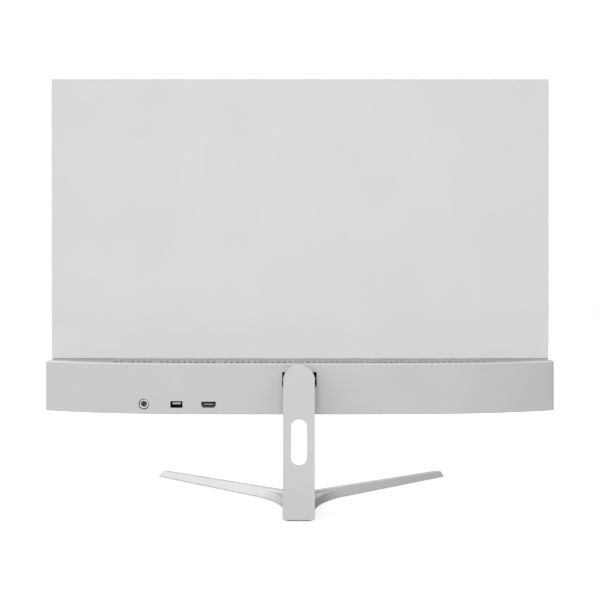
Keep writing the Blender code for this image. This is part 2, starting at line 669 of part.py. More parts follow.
def build_arm():
    """The arm: a barrel on the tilt shaft, a bridge, and a plate on the post."""
    bm = bmesh.new()
    plate_front = POST_T + GAP + ARM_PLATE_T
    low, high = ARM_Z
    thick = ARM_HALF_T
    profile = [(AXIS_Y - 2, AXIS_Z - thick)]
    profile += [(post_face_y(AXIS_Z - thick, plate_front), AXIS_Z - thick)]
    profile += [(post_face_y(low, plate_front), low), (post_face_y(low, POST_T + GAP), low)]
    profile += [(post_face_y(high, POST_T + GAP), high), (post_face_y(high, plate_front), high)]
    profile += [(post_face_y(AXIS_Z + thick, plate_front), AXIS_Z + thick), (AXIS_Y - 2, AXIS_Z + thick)]
    arm = add_mesh("hinge_arm", prism_mesh(profile, "X", -BARREL_HALF, BARREL_HALF, bm), "black_plastic")
    barrel = turned([(0, -BARREL_HALF), (BARREL_R, -BARREL_HALF), (BARREL_R, BARREL_HALF), (0, BARREL_HALF)],
                    AXIS_Y, AXIS_Z, 24, "X")
    boolean(arm, barrel, "UNION")
    hole = turned([(0, -40), (SHAFT_R + GAP, -40), (SHAFT_R + GAP, 40), (0, 40)], AXIS_Y, AXIS_Z, 20, "X")
    boolean(arm, hole)
    boolean(arm, screw_holes(plate_front + 3, 1.8))
    for name, z in zip(("upper", "lower"), ARM_SCREWS):
        bm = leaning_screw(z, plate_front)
        round_shading(add_mesh(f"arm_screw_{name}", bm, "bright_steel"))


def lean_about(bm, verts, z):
    """Turn a solid made along Y at a height into the post's leaning frame."""
    pivot = (0, post_face_y(z), z)
    bmesh.ops.rotate(bm, verts=verts, cent=pivot, matrix=Matrix.Rotation(LEAN, 3, "X"))
    return bm


def screw_holes(reach, radius):
    """Cutters for the two screws that join arm and post, from the front."""
    bm = bmesh.new()
    for z in ARM_SCREWS:
        rear = post_face_y(z)
        before = len(bm.verts)
        profile = [(0, rear - reach), (radius, rear - reach), (radius, rear - 3), (0, rear - 3)]
        turned(profile, 0, z, 12, "Y", bm)
        bm.verts.ensure_lookup_table()
        lean_about(bm, bm.verts[before:], z)
    return bm


def leaning_screw(z, plate_front):
    """A screw through the arm's plate into the post, head to the front."""
    rear = post_face_y(z)
    head_back = rear - plate_front - GAP
    profile = [(0, head_back - 1.6), (2.2, head_back - 1.6), (2.7, head_back - 1.1), (2.7, head_back),
               (1.5, head_back), (1.5, rear - 3.4), (0, rear - 3.4)]
    bm = turned(profile, 0, z, 12, "Y")
    return lean_about(bm, bm.verts, z)


# ---------------------------------------------------------------- stand

def build_post():
    """Leaning flat post with a round top, a cable slot and a tongue under the base."""
    half = POST_W / 2
    length = POST_TOP_Z / math.cos(LEAN)
    outline = [(half, 1.2), (half, length - half)] + arc(0, length - half, half, 0, 180, 16)[1:-1]
    outline += [(-half, length - half), (-half, 1.2)]
    bm = prism_mesh(outline, "Y", -POST_T, 0.0)
    bmesh.ops.rotate(bm, verts=bm.verts, cent=(0, 0, 0), matrix=Matrix.Rotation(LEAN, 3, "X"))
    bmesh.ops.translate(bm, verts=bm.verts, vec=(0, POST_FOOT_Y, 0))
    keep_side(bm, (0, 0, 1.2), (0, 0, 1))
    bevel_where(bm, lambda a, b: max(a.z, b.z) < 1.3 and min(a.y, b.y) > 108, 2.2, 4)
    bevel_where(bm, lambda a, b: max(a.z, b.z) > 20, 0.5, 1)
    post = add_mesh("post", bm, "stand_metal")

    slot_low = CABLE_SLOT_LOW / math.cos(LEAN)
    slot_high = CABLE_SLOT_HIGH / math.cos(LEAN)
    outline = stadium(0, (slot_low + slot_high) / 2, slot_high - slot_low, CABLE_SLOT_W, 10, upright=True)
    slot = prism_mesh(outline, "Y", -20, 12)
    bmesh.ops.rotate(slot, verts=slot.verts, cent=(0, 0, 0), matrix=Matrix.Rotation(LEAN, 3, "X"))
    bmesh.ops.translate(slot, verts=slot.verts, vec=(0, POST_FOOT_Y, 0))
    boolean(post, slot)
    low, high = TONGUE_Z
    boolean(post, box_mesh((-TONGUE_HALF, 52, low), (TONGUE_HALF, 104, high)), "UNION")
    boolean(post, screw_holes(POST_T + 3, 1.8))
    holes = bmesh.new()
    for y in TONGUE_SCREWS:
        stepped_hole(0, y, (-2, 2.9, 6), 3.3, 1.9, holes)
    prism_mesh(stadium(0, POST_PAD_Y, 27, 7, 4), "Z", -2, PAD_TOP + GAP, holes)
    boolean(post, holes)
    round_shading(post, 30)


def leg_direction(side):
    """Unit vectors along a leg (outwards, forward) and across it, towards its front."""
    along = Vector((side * math.cos(LEG_ANGLE), -math.sin(LEG_ANGLE), 0))
    across = Vector((-side * math.sin(LEG_ANGLE), -math.cos(LEG_ANGLE), 0))
    return along, across


def leg_section(point, across, share):
    """Five-sided section of a leg at one station; share is 0 at the hub, 1 at the tip."""
    height = LEG_H_HUB + (LEG_H_TIP - LEG_H_HUB) * share
    width = LEG_W_HUB + (LEG_W_TIP - LEG_W_HUB) * share
    rise = height - LEG_EDGE
    levels = ((0, BASE_Z), (0, LEG_EDGE), (rise * 0.9, height), (width - 0.8, height), (width, height - 1),
              (width, BASE_Z))
    return [point + across * offset + Vector((0, 0, z)) for offset, z in levels]


def leg_mesh(side):
    """One straight leg, from beyond the middle plane to its tip."""
    along, across = leg_direction(side)
    start = Vector((side * LEG_START_X, 0, 0))
    full = BASE_FRONT / math.sin(LEG_ANGLE)
    bm = bmesh.new()
    rings = []
    for distance in (-110.0, 0.0, full + 20):
        share = max(distance, -72.0) / full
        section = leg_section(start + along * distance, across, min(max(share, -0.4), 1.2))
        rings.append([bm.verts.new(p) for p in section])
    for a, b in zip(rings, rings[1:]):
        for i, vert in enumerate(a):
            j = (i + 1) % len(a)
            bm.faces.new((vert, a[j], b[j], b[i]))
    bm.faces.new(rings[0])
    bm.faces.new(rings[-1])
    keep_side(bm, (0, 0, 0), (side, 0, 0))
    tip = start + along * (full - TIP_CUT)
    keep_side(bm, tip, -(along + Vector((side * 0.1, -0.3, 0))))
    keep_side(bm, (0, -BASE_FRONT, 0), (0, 1, 0))
    return bm


def keep_side(bm, point, normal):
    """Keep what lies on the normal's side of a plane, and close the cut."""
    geom = bm.verts[:] + bm.edges[:] + bm.faces[:]
    cut = bmesh.ops.bisect_plane(bm, geom=geom, plane_co=point, plane_no=-Vector(normal), clear_outer=True)
    rim = [e for e in cut["geom_cut"] if isinstance(e, bmesh.types.BMEdge)]
    if rim:
        bmesh.ops.contextual_create(bm, geom=rim)


def deck_mesh():
    """The low deck that fills the V's corner and runs back to the post."""
    corner_y = LEG_START_X * math.tan(LEG_ANGLE) - TAIL_HALF * math.tan(LEG_ANGLE)
    turn = math.pi / 2 - LEG_ANGLE
    tangent = SWEEP_R * math.tan(turn / 2)
    cx, cy = TAIL_HALF + SWEEP_R, corner_y + tangent
    steps = 12
    floor, top = [], []
    for i in range(steps + 1):
        share = i / steps
        angle = math.pi + turn * (1 - share)
        ray = (math.cos(angle), math.sin(angle))
        slope = 6.4 * (1 - share) ** 1.5 + 0.8
        floor.append((cx + (SWEEP_R + 0.2) * ray[0], cy + (SWEEP_R + 0.2) * ray[1]))
        top.append((cx + (SWEEP_R + slope) * ray[0], cy + (SWEEP_R + slope) * ray[1]))
    floor = [(20, 4)] + floor + [(TAIL_HALF - 0.2, TAIL_END)]
    top = [(20, 12)] + top + [(TAIL_HALF - 0.8, TAIL_END)]
    floor += [(-x, y) for x, y in reversed(floor)]
    top += [(-x, y) for x, y in reversed(top)]
    bm = bmesh.new()
    low = [bm.verts.new((x, y, BASE_Z)) for x, y in floor]
    edge = [bm.verts.new((x, y, LEG_EDGE)) for x, y in floor]
    high = [bm.verts.new((x, y, DECK_Z)) for x, y in top]
    bm.faces.new(low)
    bm.faces.new(high)
    for a, b in ((low, edge), (edge, high)):
        for i, vert in enumerate(a):
            j = (i + 1) % len(a)
            bm.faces.new((vert, a[j], b[j], b[i]))
    return bm


def pad_place(side):
    """Middle of a foot pad under a leg's tip."""
    along, across = leg_direction(side)
    full = BASE_FRONT / math.sin(LEG_ANGLE)
    return Vector((side * LEG_START_X, 0, 0)) + along * (full - 32) + across * 6.2


def pad_outline(side, grow):
    """Pad outline, lying along its leg."""
    middle = pad_place(side)
    along, _ = leg_direction(side)
    turn = math.atan2(along.y, along.x)
    points = stadium(0, 0, 20 + 2 * grow, 6 + 2 * grow, 4)
    cos, sin = math.cos(turn), math.sin(turn)
    return [(middle.x + x * cos - y * sin, middle.y + x * sin + y * cos) for x, y in points]


def build_base():
    """Two legs in a V joined by the deck, with a pocket for the post's tongue."""
    base = add_mesh("base", deck_mesh(), "stand_metal")
    for side in (-1, 1):
        boolean(base, leg_mesh(side), "UNION")
    side_x = TONGUE_HALF + GAP
    boolean(base, box_mesh((-side_x, 52 - GAP, -3), (side_x, 130, TONGUE_Z[1] + GAP)))
    holes = bmesh.new()
    for y in TONGUE_SCREWS:
        prism_mesh(circle(0, y, 1.8, 12), "Z", 2, 7.4, holes)
    for side in (-1, 1):
        prism_mesh(pad_outline(side, GAP), "Z", -3, PAD_TOP + GAP, holes)
    boolean(base, holes)


def build_pads_and_screws():
    """Rubber feet, and the screws that hold the tongue under the base."""
    for side, name in ((-1, "right"), (1, "left")):
        add_mesh(f"foot_pad_{name}", prism_mesh(pad_outline(side, 0), "Z", 0, PAD_TOP), "rubber")
    outline = stadium(0, POST_PAD_Y, 26.4, 6.4, 4)
    add_mesh("foot_pad_post", prism_mesh(outline, "Z", 0, PAD_TOP), "rubber")
    for name, y in zip(("front", "rear"), TONGUE_SCREWS):
        bm = turned([(0, 1.3), (2.8, 1.3), (2.8, 2.6), (1.5, 2.6), (1.5, 7.0), (0, 7.0)], 0, y, 12)
        round_shading(add_mesh(f"tongue_screw_{name}", bm, "bright_steel"))


# ---------------------------------------------------------------- assembly

def clear_scene():
    """Remove every object the file starts with."""
    for obj in list(bpy.data.objects):
        bpy.data.objects.remove(obj)


def main():
    """Build the machine: the head on its tilt axis, then the stand."""
    clear_scene()
    head = bpy.data.objects.new("tilt_axis", None)
    head.location = Vector((0, AXIS_Y, AXIS_Z)) * MM
    bpy.context.collection.objects.link(head)
    for build in (build_display, build_front_cover, build_chassis, build_rear_housing,
                  build_housing_screws, build_ports, build_board, build_display_cable, build_cooling,
                  build_fan, build_speakers, build_button, build_hinge):
        build(head)
    for build in (build_arm, build_post, build_base, build_pads_and_screws):
        build()


main()
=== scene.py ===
"""Looks of the all-in-one computer: fine meshes, finishes, studio and camera.

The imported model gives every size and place. The screen faces -Y, the connectors
face +Y, and the machine stands on Z = 0. All lengths are in metres.
"""

import logging
import math
from dataclasses import dataclass
from enum import Enum
from typing import Callable, Optional, Sequence

import bpy
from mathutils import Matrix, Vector


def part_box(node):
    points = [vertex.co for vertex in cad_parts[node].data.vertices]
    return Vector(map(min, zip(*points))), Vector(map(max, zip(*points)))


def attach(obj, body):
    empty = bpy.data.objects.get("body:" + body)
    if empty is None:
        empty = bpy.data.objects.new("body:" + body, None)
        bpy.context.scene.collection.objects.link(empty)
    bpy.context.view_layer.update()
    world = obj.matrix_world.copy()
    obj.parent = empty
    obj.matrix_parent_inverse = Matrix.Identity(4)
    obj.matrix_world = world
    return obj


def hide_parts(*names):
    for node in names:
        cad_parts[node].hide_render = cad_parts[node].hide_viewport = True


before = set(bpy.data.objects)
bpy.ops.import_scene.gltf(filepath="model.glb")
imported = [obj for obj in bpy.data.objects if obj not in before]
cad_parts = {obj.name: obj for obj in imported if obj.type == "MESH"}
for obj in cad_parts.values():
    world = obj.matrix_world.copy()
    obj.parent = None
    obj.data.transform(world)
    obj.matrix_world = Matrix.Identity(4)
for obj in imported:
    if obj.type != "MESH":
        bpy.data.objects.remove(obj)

LOG = logging.getLogger("all_in_one")
MM = 0.001
TOUCH = 1e-5        # two places this close count as one
FINE_TOUCH = 1e-6   # the same, for small pieces
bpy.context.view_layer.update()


class Body(Enum):
    """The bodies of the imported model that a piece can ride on."""

    STAND = "stand"
    HEAD = "head"
    FAN = "fan_rotor"
    BUTTON = "power_button"


class Axis(Enum):
    """The axis that a rod lies along; the value is its turn from Z, in degrees."""

    X = (0.0, 90.0, 0.0)
    Y = (-90.0, 0.0, 0.0)
    Z = (0.0, 0.0, 0.0)


# ------------------------------------------------------------------ node helpers

def linear(code: str) -> tuple[float, float, float, float]:
    """Turn an sRGB hex colour into linear RGBA.

    Args:
        code: six hex digits, without a leading sign.

    Returns:
        Linear red, green, blue and an alpha of 1.
    """
    channels = [int(code[i:i + 2], 16) / 255 for i in (0, 2, 4)]
    turned = [c / 12.92 if c <= 0.04045 else ((c + 0.055) / 1.055) ** 2.4 for c in channels]
    return (*turned, 1.0)


def add_node(tree: bpy.types.NodeTree, kind: str, settings: Optional[dict] = None,
             links: Optional[dict] = None) -> bpy.types.Node:
    """Add a node with its settings and links.

    Args:
        tree: the node tree that gets the node.
        kind: the node's type name.
        settings: values by input name or number, or by property name.
        links: source sockets by the name or number of the input they feed.

    Returns:
        The new node.
    """
    node = tree.nodes.new(kind)
    for key, value in (settings or {}).items():
        if isinstance(key, int) or key in node.inputs:
            node.inputs[key].default_value = value
        else:
            setattr(node, key, value)
    for key, source in (links or {}).items():
        tree.links.new(source, node.inputs[key])
    return node


def grain_scale(size_mm: float) -> float:
    """Scale of a noise pattern on metre coordinates whose grains have this size."""
    return 1.0 / (size_mm * MM)


def new_material(name: str) -> tuple[bpy.types.Material, bpy.types.NodeTree, bpy.types.Node]:
    """Make an empty Principled material.

    Args:
        name: the finish's name.

    Returns:
        The material, its node tree and its Principled shader.
    """
    material = bpy.data.materials.new(name)
    material.use_nodes = True
    tree = material.node_tree
    return material, tree, tree.nodes["Principled BSDF"]


def ramp_colours(ramp: bpy.types.Node, stops: Sequence[tuple[float, str]]) -> None:
    """Set the stops of a colour ramp from (place, hex colour) pairs."""
    elements = ramp.color_ramp.elements
    while len(elements) < len(stops):
        elements.new(0.5)
    for element, (place, code) in zip(elements, stops):
        element.position = place
        element.color = linear(code)


# ------------------------------------------------------------------ finishes

@dataclass(frozen=True)
class GrainedFinish:
    """A finish with slow colour drift, fine grain in gloss and a fine relief.

    It covers lacquers, moulded plastics, rubber and plain metals, which differ in
    their colours, gloss and grain sizes. Grain sizes are real, in millimetres.
    """

    name: str
    dark: str
    light: str
    drift_mm: float
    roughness: float
    roughness_swing: float
    grain_mm: float
    relief_mm: float
    metallic: float = 0.0
    ior: float = 1.5
    coat: float = 0.0
    coat_roughness: float = 0.1
    stretch: tuple[float, float, float] = (1.0, 1.0, 1.0)

    def build(self) -> bpy.types.Material:
        """Make the material.

        Returns:
            The finished material.
        """
        material, tree, shader = new_material(self.name)
        place = add_node(tree, "ShaderNodeTexCoord").outputs["Object"]
        mapped = add_node(tree, "ShaderNodeMapping", {"Scale": self.stretch}, {"Vector": place})
        spot = mapped.outputs["Vector"]
        drift = add_node(tree, "ShaderNodeTexNoise",
                         {"Scale": grain_scale(self.drift_mm), "Detail": 3.0, "Roughness": 0.55},
                         {"Vector": spot})
        tint = add_node(tree, "ShaderNodeValToRGB", {}, {"Fac": drift.outputs["Fac"]})
        ramp_colours(tint, ((0.3, self.dark), (0.7, self.light)))
        grain = add_node(tree, "ShaderNodeTexNoise",
                         {"Scale": grain_scale(self.grain_mm), "Detail": 2.0, "Roughness": 0.6},
                         {"Vector": spot})
        gloss = add_node(tree, "ShaderNodeMapRange",
                         {"To Min": self.roughness - self.roughness_swing,
                          "To Max": self.roughness + self.roughness_swing},
                         {"Value": grain.outputs["Fac"]})
        relief = add_node(tree, "ShaderNodeBump",
                          {"Strength": 0.5, "Distance": self.relief_mm * MM},
                          {"Height": grain.outputs["Fac"]})
        tree.links.new(tint.outputs["Color"], shader.inputs["Base Color"])
        tree.links.new(gloss.outputs["Result"], shader.inputs["Roughness"])
        tree.links.new(relief.outputs["Normal"], shader.inputs["Normal"])
        shader.inputs["Metallic"].default_value = self.metallic
        if self.metallic < 0.5:
            shader.inputs["IOR"].default_value = self.ior
        shader.inputs["Coat Weight"].default_value = self.coat
        shader.inputs["Coat Roughness"].default_value = self.coat_roughness
        return material


@dataclass(frozen=True)
class ScreenGlass:
    """Cover glass over a display that is off: a black border round a deep grey field."""

    name: str = "screen_cover_glass"
    border: str = "050506"
    field: str = "0c0d10"
    smear_mm: float = 60.0
    gloss: tuple[float, float] = (0.04, 0.09)
    ior: float = 1.52
    low: tuple[float, float] = (-0.2635, 0.1570)
    high: tuple[float, float] = (0.2635, 0.4455)

    def build(self) -> bpy.types.Material:
        """Make the material: the border is found from the place on the glass."""
        material, tree, shader = new_material(self.name)
        place = add_node(tree, "ShaderNodeTexCoord").outputs["Object"]
        parts = add_node(tree, "ShaderNodeSeparateXYZ", {}, {"Vector": place})
        inside = None
        for axis, low, high in zip("XZ", self.low, self.high):
            above = add_node(tree, "ShaderNodeMath", {"operation": "GREATER_THAN", 1: low},
                             {0: parts.outputs[axis]}).outputs[0]
            below = add_node(tree, "ShaderNodeMath", {"operation": "LESS_THAN", 1: high},
                             {0: parts.outputs[axis]}).outputs[0]
            for test in (above, below):
                inside = test if inside is None else add_node(
                    tree, "ShaderNodeMath", {"operation": "MULTIPLY"},
                    {0: inside, 1: test}).outputs[0]
        colour = add_node(tree, "ShaderNodeMix", {"data_type": "RGBA"}, {"Factor": inside})
        colour.inputs[6].default_value = linear(self.border)
        colour.inputs[7].default_value = linear(self.field)
        smear = add_node(tree, "ShaderNodeTexNoise",
                         {"Scale": grain_scale(self.smear_mm), "Detail": 2.0}, {"Vector": place})
        gloss = add_node(tree, "ShaderNodeMapRange",
                         {"To Min": self.gloss[0], "To Max": self.gloss[1]},
                         {"Value": smear.outputs["Fac"]})
        tree.links.new(colour.outputs[2], shader.inputs["Base Color"])
        tree.links.new(gloss.outputs["Result"], shader.inputs["Roughness"])
        shader.inputs["IOR"].default_value = self.ior
        return material


# ABS with a silver-grey lacquer, sprayed: soft orange peel, no flake that the eye can see.
COVER_LACQUER = GrainedFinish("cover_lacquer", "d1d1d1", "d5d5d5", 90.0, 0.5, 0.04, 0.9, 0.004)
# PC/ABS moulded in a spark-eroded tool: an even matt skin, slightly greyer than the cover.
HOUSING_MOULDING = GrainedFinish("housing_moulding", "c4c4c5", "c8c8c9", 70.0, 0.55, 0.05, 0.6,
                                 0.012)
# The same moulding on its rounded rear rim: smoother, and paler as a painted highlight of the light
# the rim catches from above.
HOUSING_RIM_PAINTED_HIGHLIGHT = GrainedFinish("housing_rim_painted_highlight", "dadada", "dddddd", 70.0, 0.4, 0.04, 0.6, 0.004)
# Die-cast aluminium under a silver lacquer: mostly paint, with a little metal in its highlight.
STAND_CASTING = GrainedFinish("stand_casting", "cdcdce", "d3d3d4", 50.0, 0.48, 0.05, 0.5, 0.006,
                              0.25)
# The same lacquer over the rolled plate of the post, in a darker copy: painted shade that sets the
# post's tone in this light.
POST_LACQUER_PAINTED_SHADE = GrainedFinish("post_lacquer_painted_shade", "acacad", "b1b1b2", 50.0, 0.48, 0.05, 0.5, 0.006,
                             0.25)
# Black nylon, moulded: dark and slightly glossy.
BLACK_NYLON = GrainedFinish("black_nylon", "141415", "1b1b1c", 12.0, 0.45, 0.06, 0.4, 0.01)
# Mid-grey liquid-crystal polymer, the insulator of a connector.
GREY_INSULATOR = GrainedFinish("grey_insulator", "808184", "8c8d90", 6.0, 0.5, 0.05, 0.3, 0.005)
# Pale liquid-crystal polymer, as on a USB tongue.
LIGHT_INSULATOR = GrainedFinish("light_insulator", "a6a6a7", "b0b0b1", 6.0, 0.4, 0.05, 0.3, 0.005)
# Dull nickel on turned brass, on the power inlet's barrel.
DULL_NICKEL = GrainedFinish("dull_nickel", "b4b4b4", "bebebe", 5.0, 0.42, 0.06, 0.5, 0.003, 0.8)
# Steel under black nickel: dark, with a warm gloss. On the socket shells its dark rim is also
# painted shade for the shadowed frame round each opening.
BLACK_NICKEL_AND_SHADE = GrainedFinish("black_nickel_and_painted_shade", "2b2a29", "353433", 4.0, 0.3, 0.06, 0.5, 0.002, 0.9)
# Inside of the HDMI socket: bare sheet in its own shade.
SOCKET_GREY = GrainedFinish("socket_grey", "aaaaac", "b2b2b4", 3.0, 0.5, 0.06, 0.4, 0.004)
# Inside of a socket: nickel painted near black, as painted shade for an inside that gets hardly any
# light.
SOCKET_PAINTED_SHADE = GrainedFinish("socket_painted_shade", "2c2c2e", "343436", 3.0, 0.5, 0.06, 0.4, 0.004, 0.3)
# Near black on the inner side of the housing: painted shade for the dark inside seen through the
# slots and the hinge window.
INNER_PAINTED_SHADE = GrainedFinish("housing_inner_painted_shade", "0d0d0e", "151516", 15.0, 0.7, 0.06, 0.8, 0.01)
# Dark grey sheets under the slots: painted shade for the dark inside seen through them, drawn as a
# woven mesh too fine to show, as grain.
SLOT_SHADE_SHEET = GrainedFinish("slot_painted_shade", "1e1e1f", "2c2c2d", 1.5, 0.9, 0.05, 0.5, 0.05)
# Lens glass with a violet-black coating.
LENS_COATING = GrainedFinish("lens_coating", "0a0812", "0e0c1a", 2.0, 0.06, 0.02, 0.5, 0.0005,
                             ior=1.7)
# Nitrile rubber, moulded: dull, with a faint bloom.
FOOT_RUBBER = GrainedFinish("foot_rubber", "1a1a1a", "262626", 8.0, 0.85, 0.06, 0.5, 0.03)
# Sheet steel with a galvanised skin: bright, with a slow spangle.
ZINC_SHEET = GrainedFinish("zinc_sheet", "9ea1a4", "b4b7b9", 9.0, 0.38, 0.08, 1.2, 0.004, 1.0)
# Steel with a bright nickel plate, stamped into connector shells.
NICKEL_PLATE = GrainedFinish("nickel_plate", "b9bab8", "cbccca", 5.0, 0.24, 0.06, 0.5, 0.002, 1.0)
# Screws and shafts of carbon steel, zinc-plated and clear-passivated.
SCREW_STEEL = GrainedFinish("screw_steel", "8b8d90", "a3a5a8", 3.0, 0.32, 0.07, 0.4, 0.003, 1.0)
# Steel with a black powder coat, as on the hinge arm.
BLACK_POWDER = GrainedFinish("black_powder", "0c0c0d", "121213", 10.0, 0.6, 0.08, 0.7, 0.02)
# FR-4 laminate under green solder mask.
SOLDER_MASK = GrainedFinish("solder_mask", "12452c", "185437", 7.0, 0.35, 0.08, 0.6, 0.01,
                            ior=1.55)
# Copper, drawn and skimmed, with the first brown of oxide.
BARE_COPPER = GrainedFinish("bare_copper", "b4694a", "c97f5d", 6.0, 0.3, 0.08, 0.5, 0.003, 1.0)
# Rolled aluminium, bare; the roll lines run across the machine.
ROLLED_ALUMINIUM = GrainedFinish("rolled_aluminium", "c3c5c7", "d2d4d6", 12.0, 0.34, 0.07, 0.6,
                                 0.003, 1.0, stretch=(0.06, 1.0, 1.0))
# Cast acrylic sheet with its milky dot print.
ACRYLIC_SHEET = GrainedFinish("acrylic_sheet", "dfe5e8", "e9eef0", 30.0, 0.12, 0.04, 1.0, 0.002,
                              ior=1.49)
# Polyimide film, amber.
AMBER_FILM = GrainedFinish("amber_film", "9a5a17", "b06c22", 5.0, 0.3, 0.05, 0.6, 0.003, ior=1.6)
# Plated brass pins.
PLATED_BRASS = GrainedFinish("plated_brass", "c9a75a", "d8b86c", 3.0, 0.25, 0.05, 0.4, 0.002, 1.0)


class FinishStore:
    """Builds each finish once and hands it out."""

    def __init__(self) -> None:
        """Start with no material built."""
        self._made: dict[str, bpy.types.Material] = {}

    def get(self, finish: GrainedFinish | ScreenGlass) -> bpy.types.Material:
        """Return the finish's material, built on first use."""
        if finish.name not in self._made:
            self._made[finish.name] = finish.build()
        return self._made[finish.name]


FINISHES = FinishStore()


def dress(obj: bpy.types.Object, finish: GrainedFinish | ScreenGlass) -> None:
    """Give an object one finish in all its material slots."""
    material = FINISHES.get(finish)
    if not obj.material_slots:
        obj.data.materials.append(material)
    for slot in obj.material_slots:
        slot.material = material


CAD_FINISHES: dict[GrainedFinish | ScreenGlass, str] = {
    COVER_LACQUER: "display_back_cover front_lower_cover power_button",
    HOUSING_MOULDING: "rear_housing",
    STAND_CASTING: "post base",
    BLACK_POWDER: "hinge_arm hinge_bracket_left hinge_bracket_right",
    ScreenGlass(): "screen_glass",
    FOOT_RUBBER: "foot_pad_post foot_pad_left foot_pad_right",
    NICKEL_PLATE: "usb_port_shell hdmi_port_shell dc_jack_shell clock_battery",
    GREY_INSULATOR: "usb_port_tongue hdmi_port_tongue",
    PLATED_BRASS: "dc_jack_pin",
    BLACK_NYLON: "display_cell camera_module processor fan_housing fan_rotor speaker_left "
                 "speaker_right",
    ACRYLIC_SHEET: "light_guide",
    ROLLED_ALUMINIUM: "light_bar backlight_tray fin_stack",
    ZINC_SHEET: "chassis_plate fan_lid",
    SOLDER_MASK: "main_board wireless_card memory_module storage_module button_switch",
    BARE_COPPER: "cooler_plate heat_pipe",
    AMBER_FILM: "display_cable",
    BLACK_NICKEL_AND_SHADE: "hinge_shaft friction_disc_left friction_disc_right shaft_nut_left "
                  "shaft_nut_right",
    SCREW_STEEL: "housing_screw_left housing_screw_right arm_screw_upper arm_screw_lower "
                 "tongue_screw_front tongue_screw_rear",
}


# ------------------------------------------------------------------ modelling by hand

EdgeTest = Callable[[Vector, Vector], bool]
FaceTest = Callable[[Vector, Vector], bool]


def select_only(obj: bpy.types.Object) -> None:
    """Leave edit mode, deselect everything, then select one object and make it active."""
    if bpy.context.object and bpy.context.object.mode != "OBJECT":
        bpy.ops.object.mode_set(mode="OBJECT")
    bpy.ops.object.select_all(action="DESELECT")
    obj.select_set(True)
    bpy.context.view_layer.objects.active = obj


def settle(obj: bpy.types.Object) -> bpy.types.Object:
    """Move the object's place, turn and size into its mesh."""
    select_only(obj)
    bpy.ops.object.transform_apply(location=True, rotation=True, scale=True)
    return obj


def add_block(name: str, low: Sequence[float], high: Sequence[float]) -> bpy.types.Object:
    """Add a block from its lowest to its highest corner.

    Args:
        name: the object's name.
        low: the lowest corner, in metres.
        high: the highest corner.

    Returns:
        The block, with its place in its mesh.
    """
    bpy.ops.object.select_all(action="DESELECT")
    size = Vector(high) - Vector(low)
    bpy.ops.mesh.primitive_cube_add(size=1.0, location=Vector(low) + size / 2, scale=size)
    block = bpy.context.object
    block.name = name
    return settle(block)


def add_rod(name: str, centre: Sequence[float], radius: float, length: float,
            axis: Axis = Axis.Z, sides: int = 48) -> bpy.types.Object:
    """Add a round rod about its middle.

    Args:
        name: the object's name.
        centre: the rod's middle, in metres.
        radius: its radius.
        length: its whole length.
        axis: the axis it lies along.
        sides: its number of sides.

    Returns:
        The rod, with its place in its mesh.
    """
    bpy.ops.object.select_all(action="DESELECT")
    turn = [math.radians(angle) for angle in axis.value]
    bpy.ops.mesh.primitive_cylinder_add(vertices=sides, radius=radius, depth=length,
                                        location=centre, rotation=turn)
    rod = bpy.context.object
    rod.name = name
    return settle(rod)


def object_mode() -> None:
    """Go back to object mode."""
    bpy.ops.object.mode_set(mode="OBJECT")


def pick_none(obj: bpy.types.Object, kind: str) -> None:
    """Deselect a whole mesh and say whether edges or faces are picked next."""
    select_only(obj)
    bpy.ops.object.mode_set(mode="EDIT")
    bpy.ops.mesh.select_mode(type=kind)
    bpy.ops.mesh.select_all(action="DESELECT")
    object_mode()


def pick_edges(obj: bpy.types.Object, test: EdgeTest) -> None:
    """Enter edit mode with only the edges selected whose two ends pass the test."""
    pick_none(obj, "EDGE")
    verts = obj.data.vertices
    for edge in obj.data.edges:
        edge.select = test(verts[edge.vertices[0]].co, verts[edge.vertices[1]].co)
    bpy.ops.object.mode_set(mode="EDIT")


def pick_faces(obj: bpy.types.Object, test: FaceTest) -> None:
    """Enter edit mode with only the faces selected whose middle and normal pass the test."""
    pick_none(obj, "FACE")
    for face in obj.data.polygons:
        face.select = test(face.center, face.normal)
    bpy.ops.object.mode_set(mode="EDIT")


def along_y(a: Vector, b: Vector) -> bool:
    """Whether an edge runs from front to rear."""
    return abs(a.y - b.y) > MM


def behind(depth: float) -> EdgeTest:
    """A test for edges that lie wholly behind a depth."""
    return lambda a, b: min(a.y, b.y) > depth


def below(height: float) -> EdgeTest:
    """A test for edges that lie wholly below a height."""
    return lambda a, b: max(a.z, b.z) < height


def round_edges(obj: bpy.types.Object, test: EdgeTest, width: float, segments: int = 3) -> None:
    """Bevel the edges whose two ends pass the test."""
    pick_edges(obj, test)
    bpy.ops.mesh.bevel(offset=width, segments=segments, profile=0.5, affect="EDGES")
    object_mode()


def trim(obj: bpy.types.Object, point: Sequence[float], normal: Sequence[float],
         fill: bool) -> None:
    """Cut off what lies beyond a plane, on the side its normal points to."""
    select_only(obj)
    bpy.ops.object.mode_set(mode="EDIT")
    bpy.ops.mesh.select_all(action="SELECT")
    bpy.ops.mesh.bisect(plane_co=point, plane_no=normal, use_fill=fill, clear_outer=True)
    object_mode()


def apply_modifier(obj: bpy.types.Object, kind: str, **settings: object) -> None:
    """Add a modifier with its settings and apply it."""
    select_only(obj)
    modifier = obj.modifiers.new(kind.lower(), kind)
    for key, value in settings.items():
        setattr(modifier, key, value)
    bpy.ops.object.modifier_apply(modifier=modifier.name)


def thicken(obj: bpy.types.Object, wall: float, inner_slot: int = 0) -> None:
    """Give an open shell its wall, inwards; the inner skin takes its own material slot."""
    apply_modifier(obj, "SOLIDIFY", thickness=wall, offset=-1.0, use_even_offset=True,
                   material_offset=inner_slot)


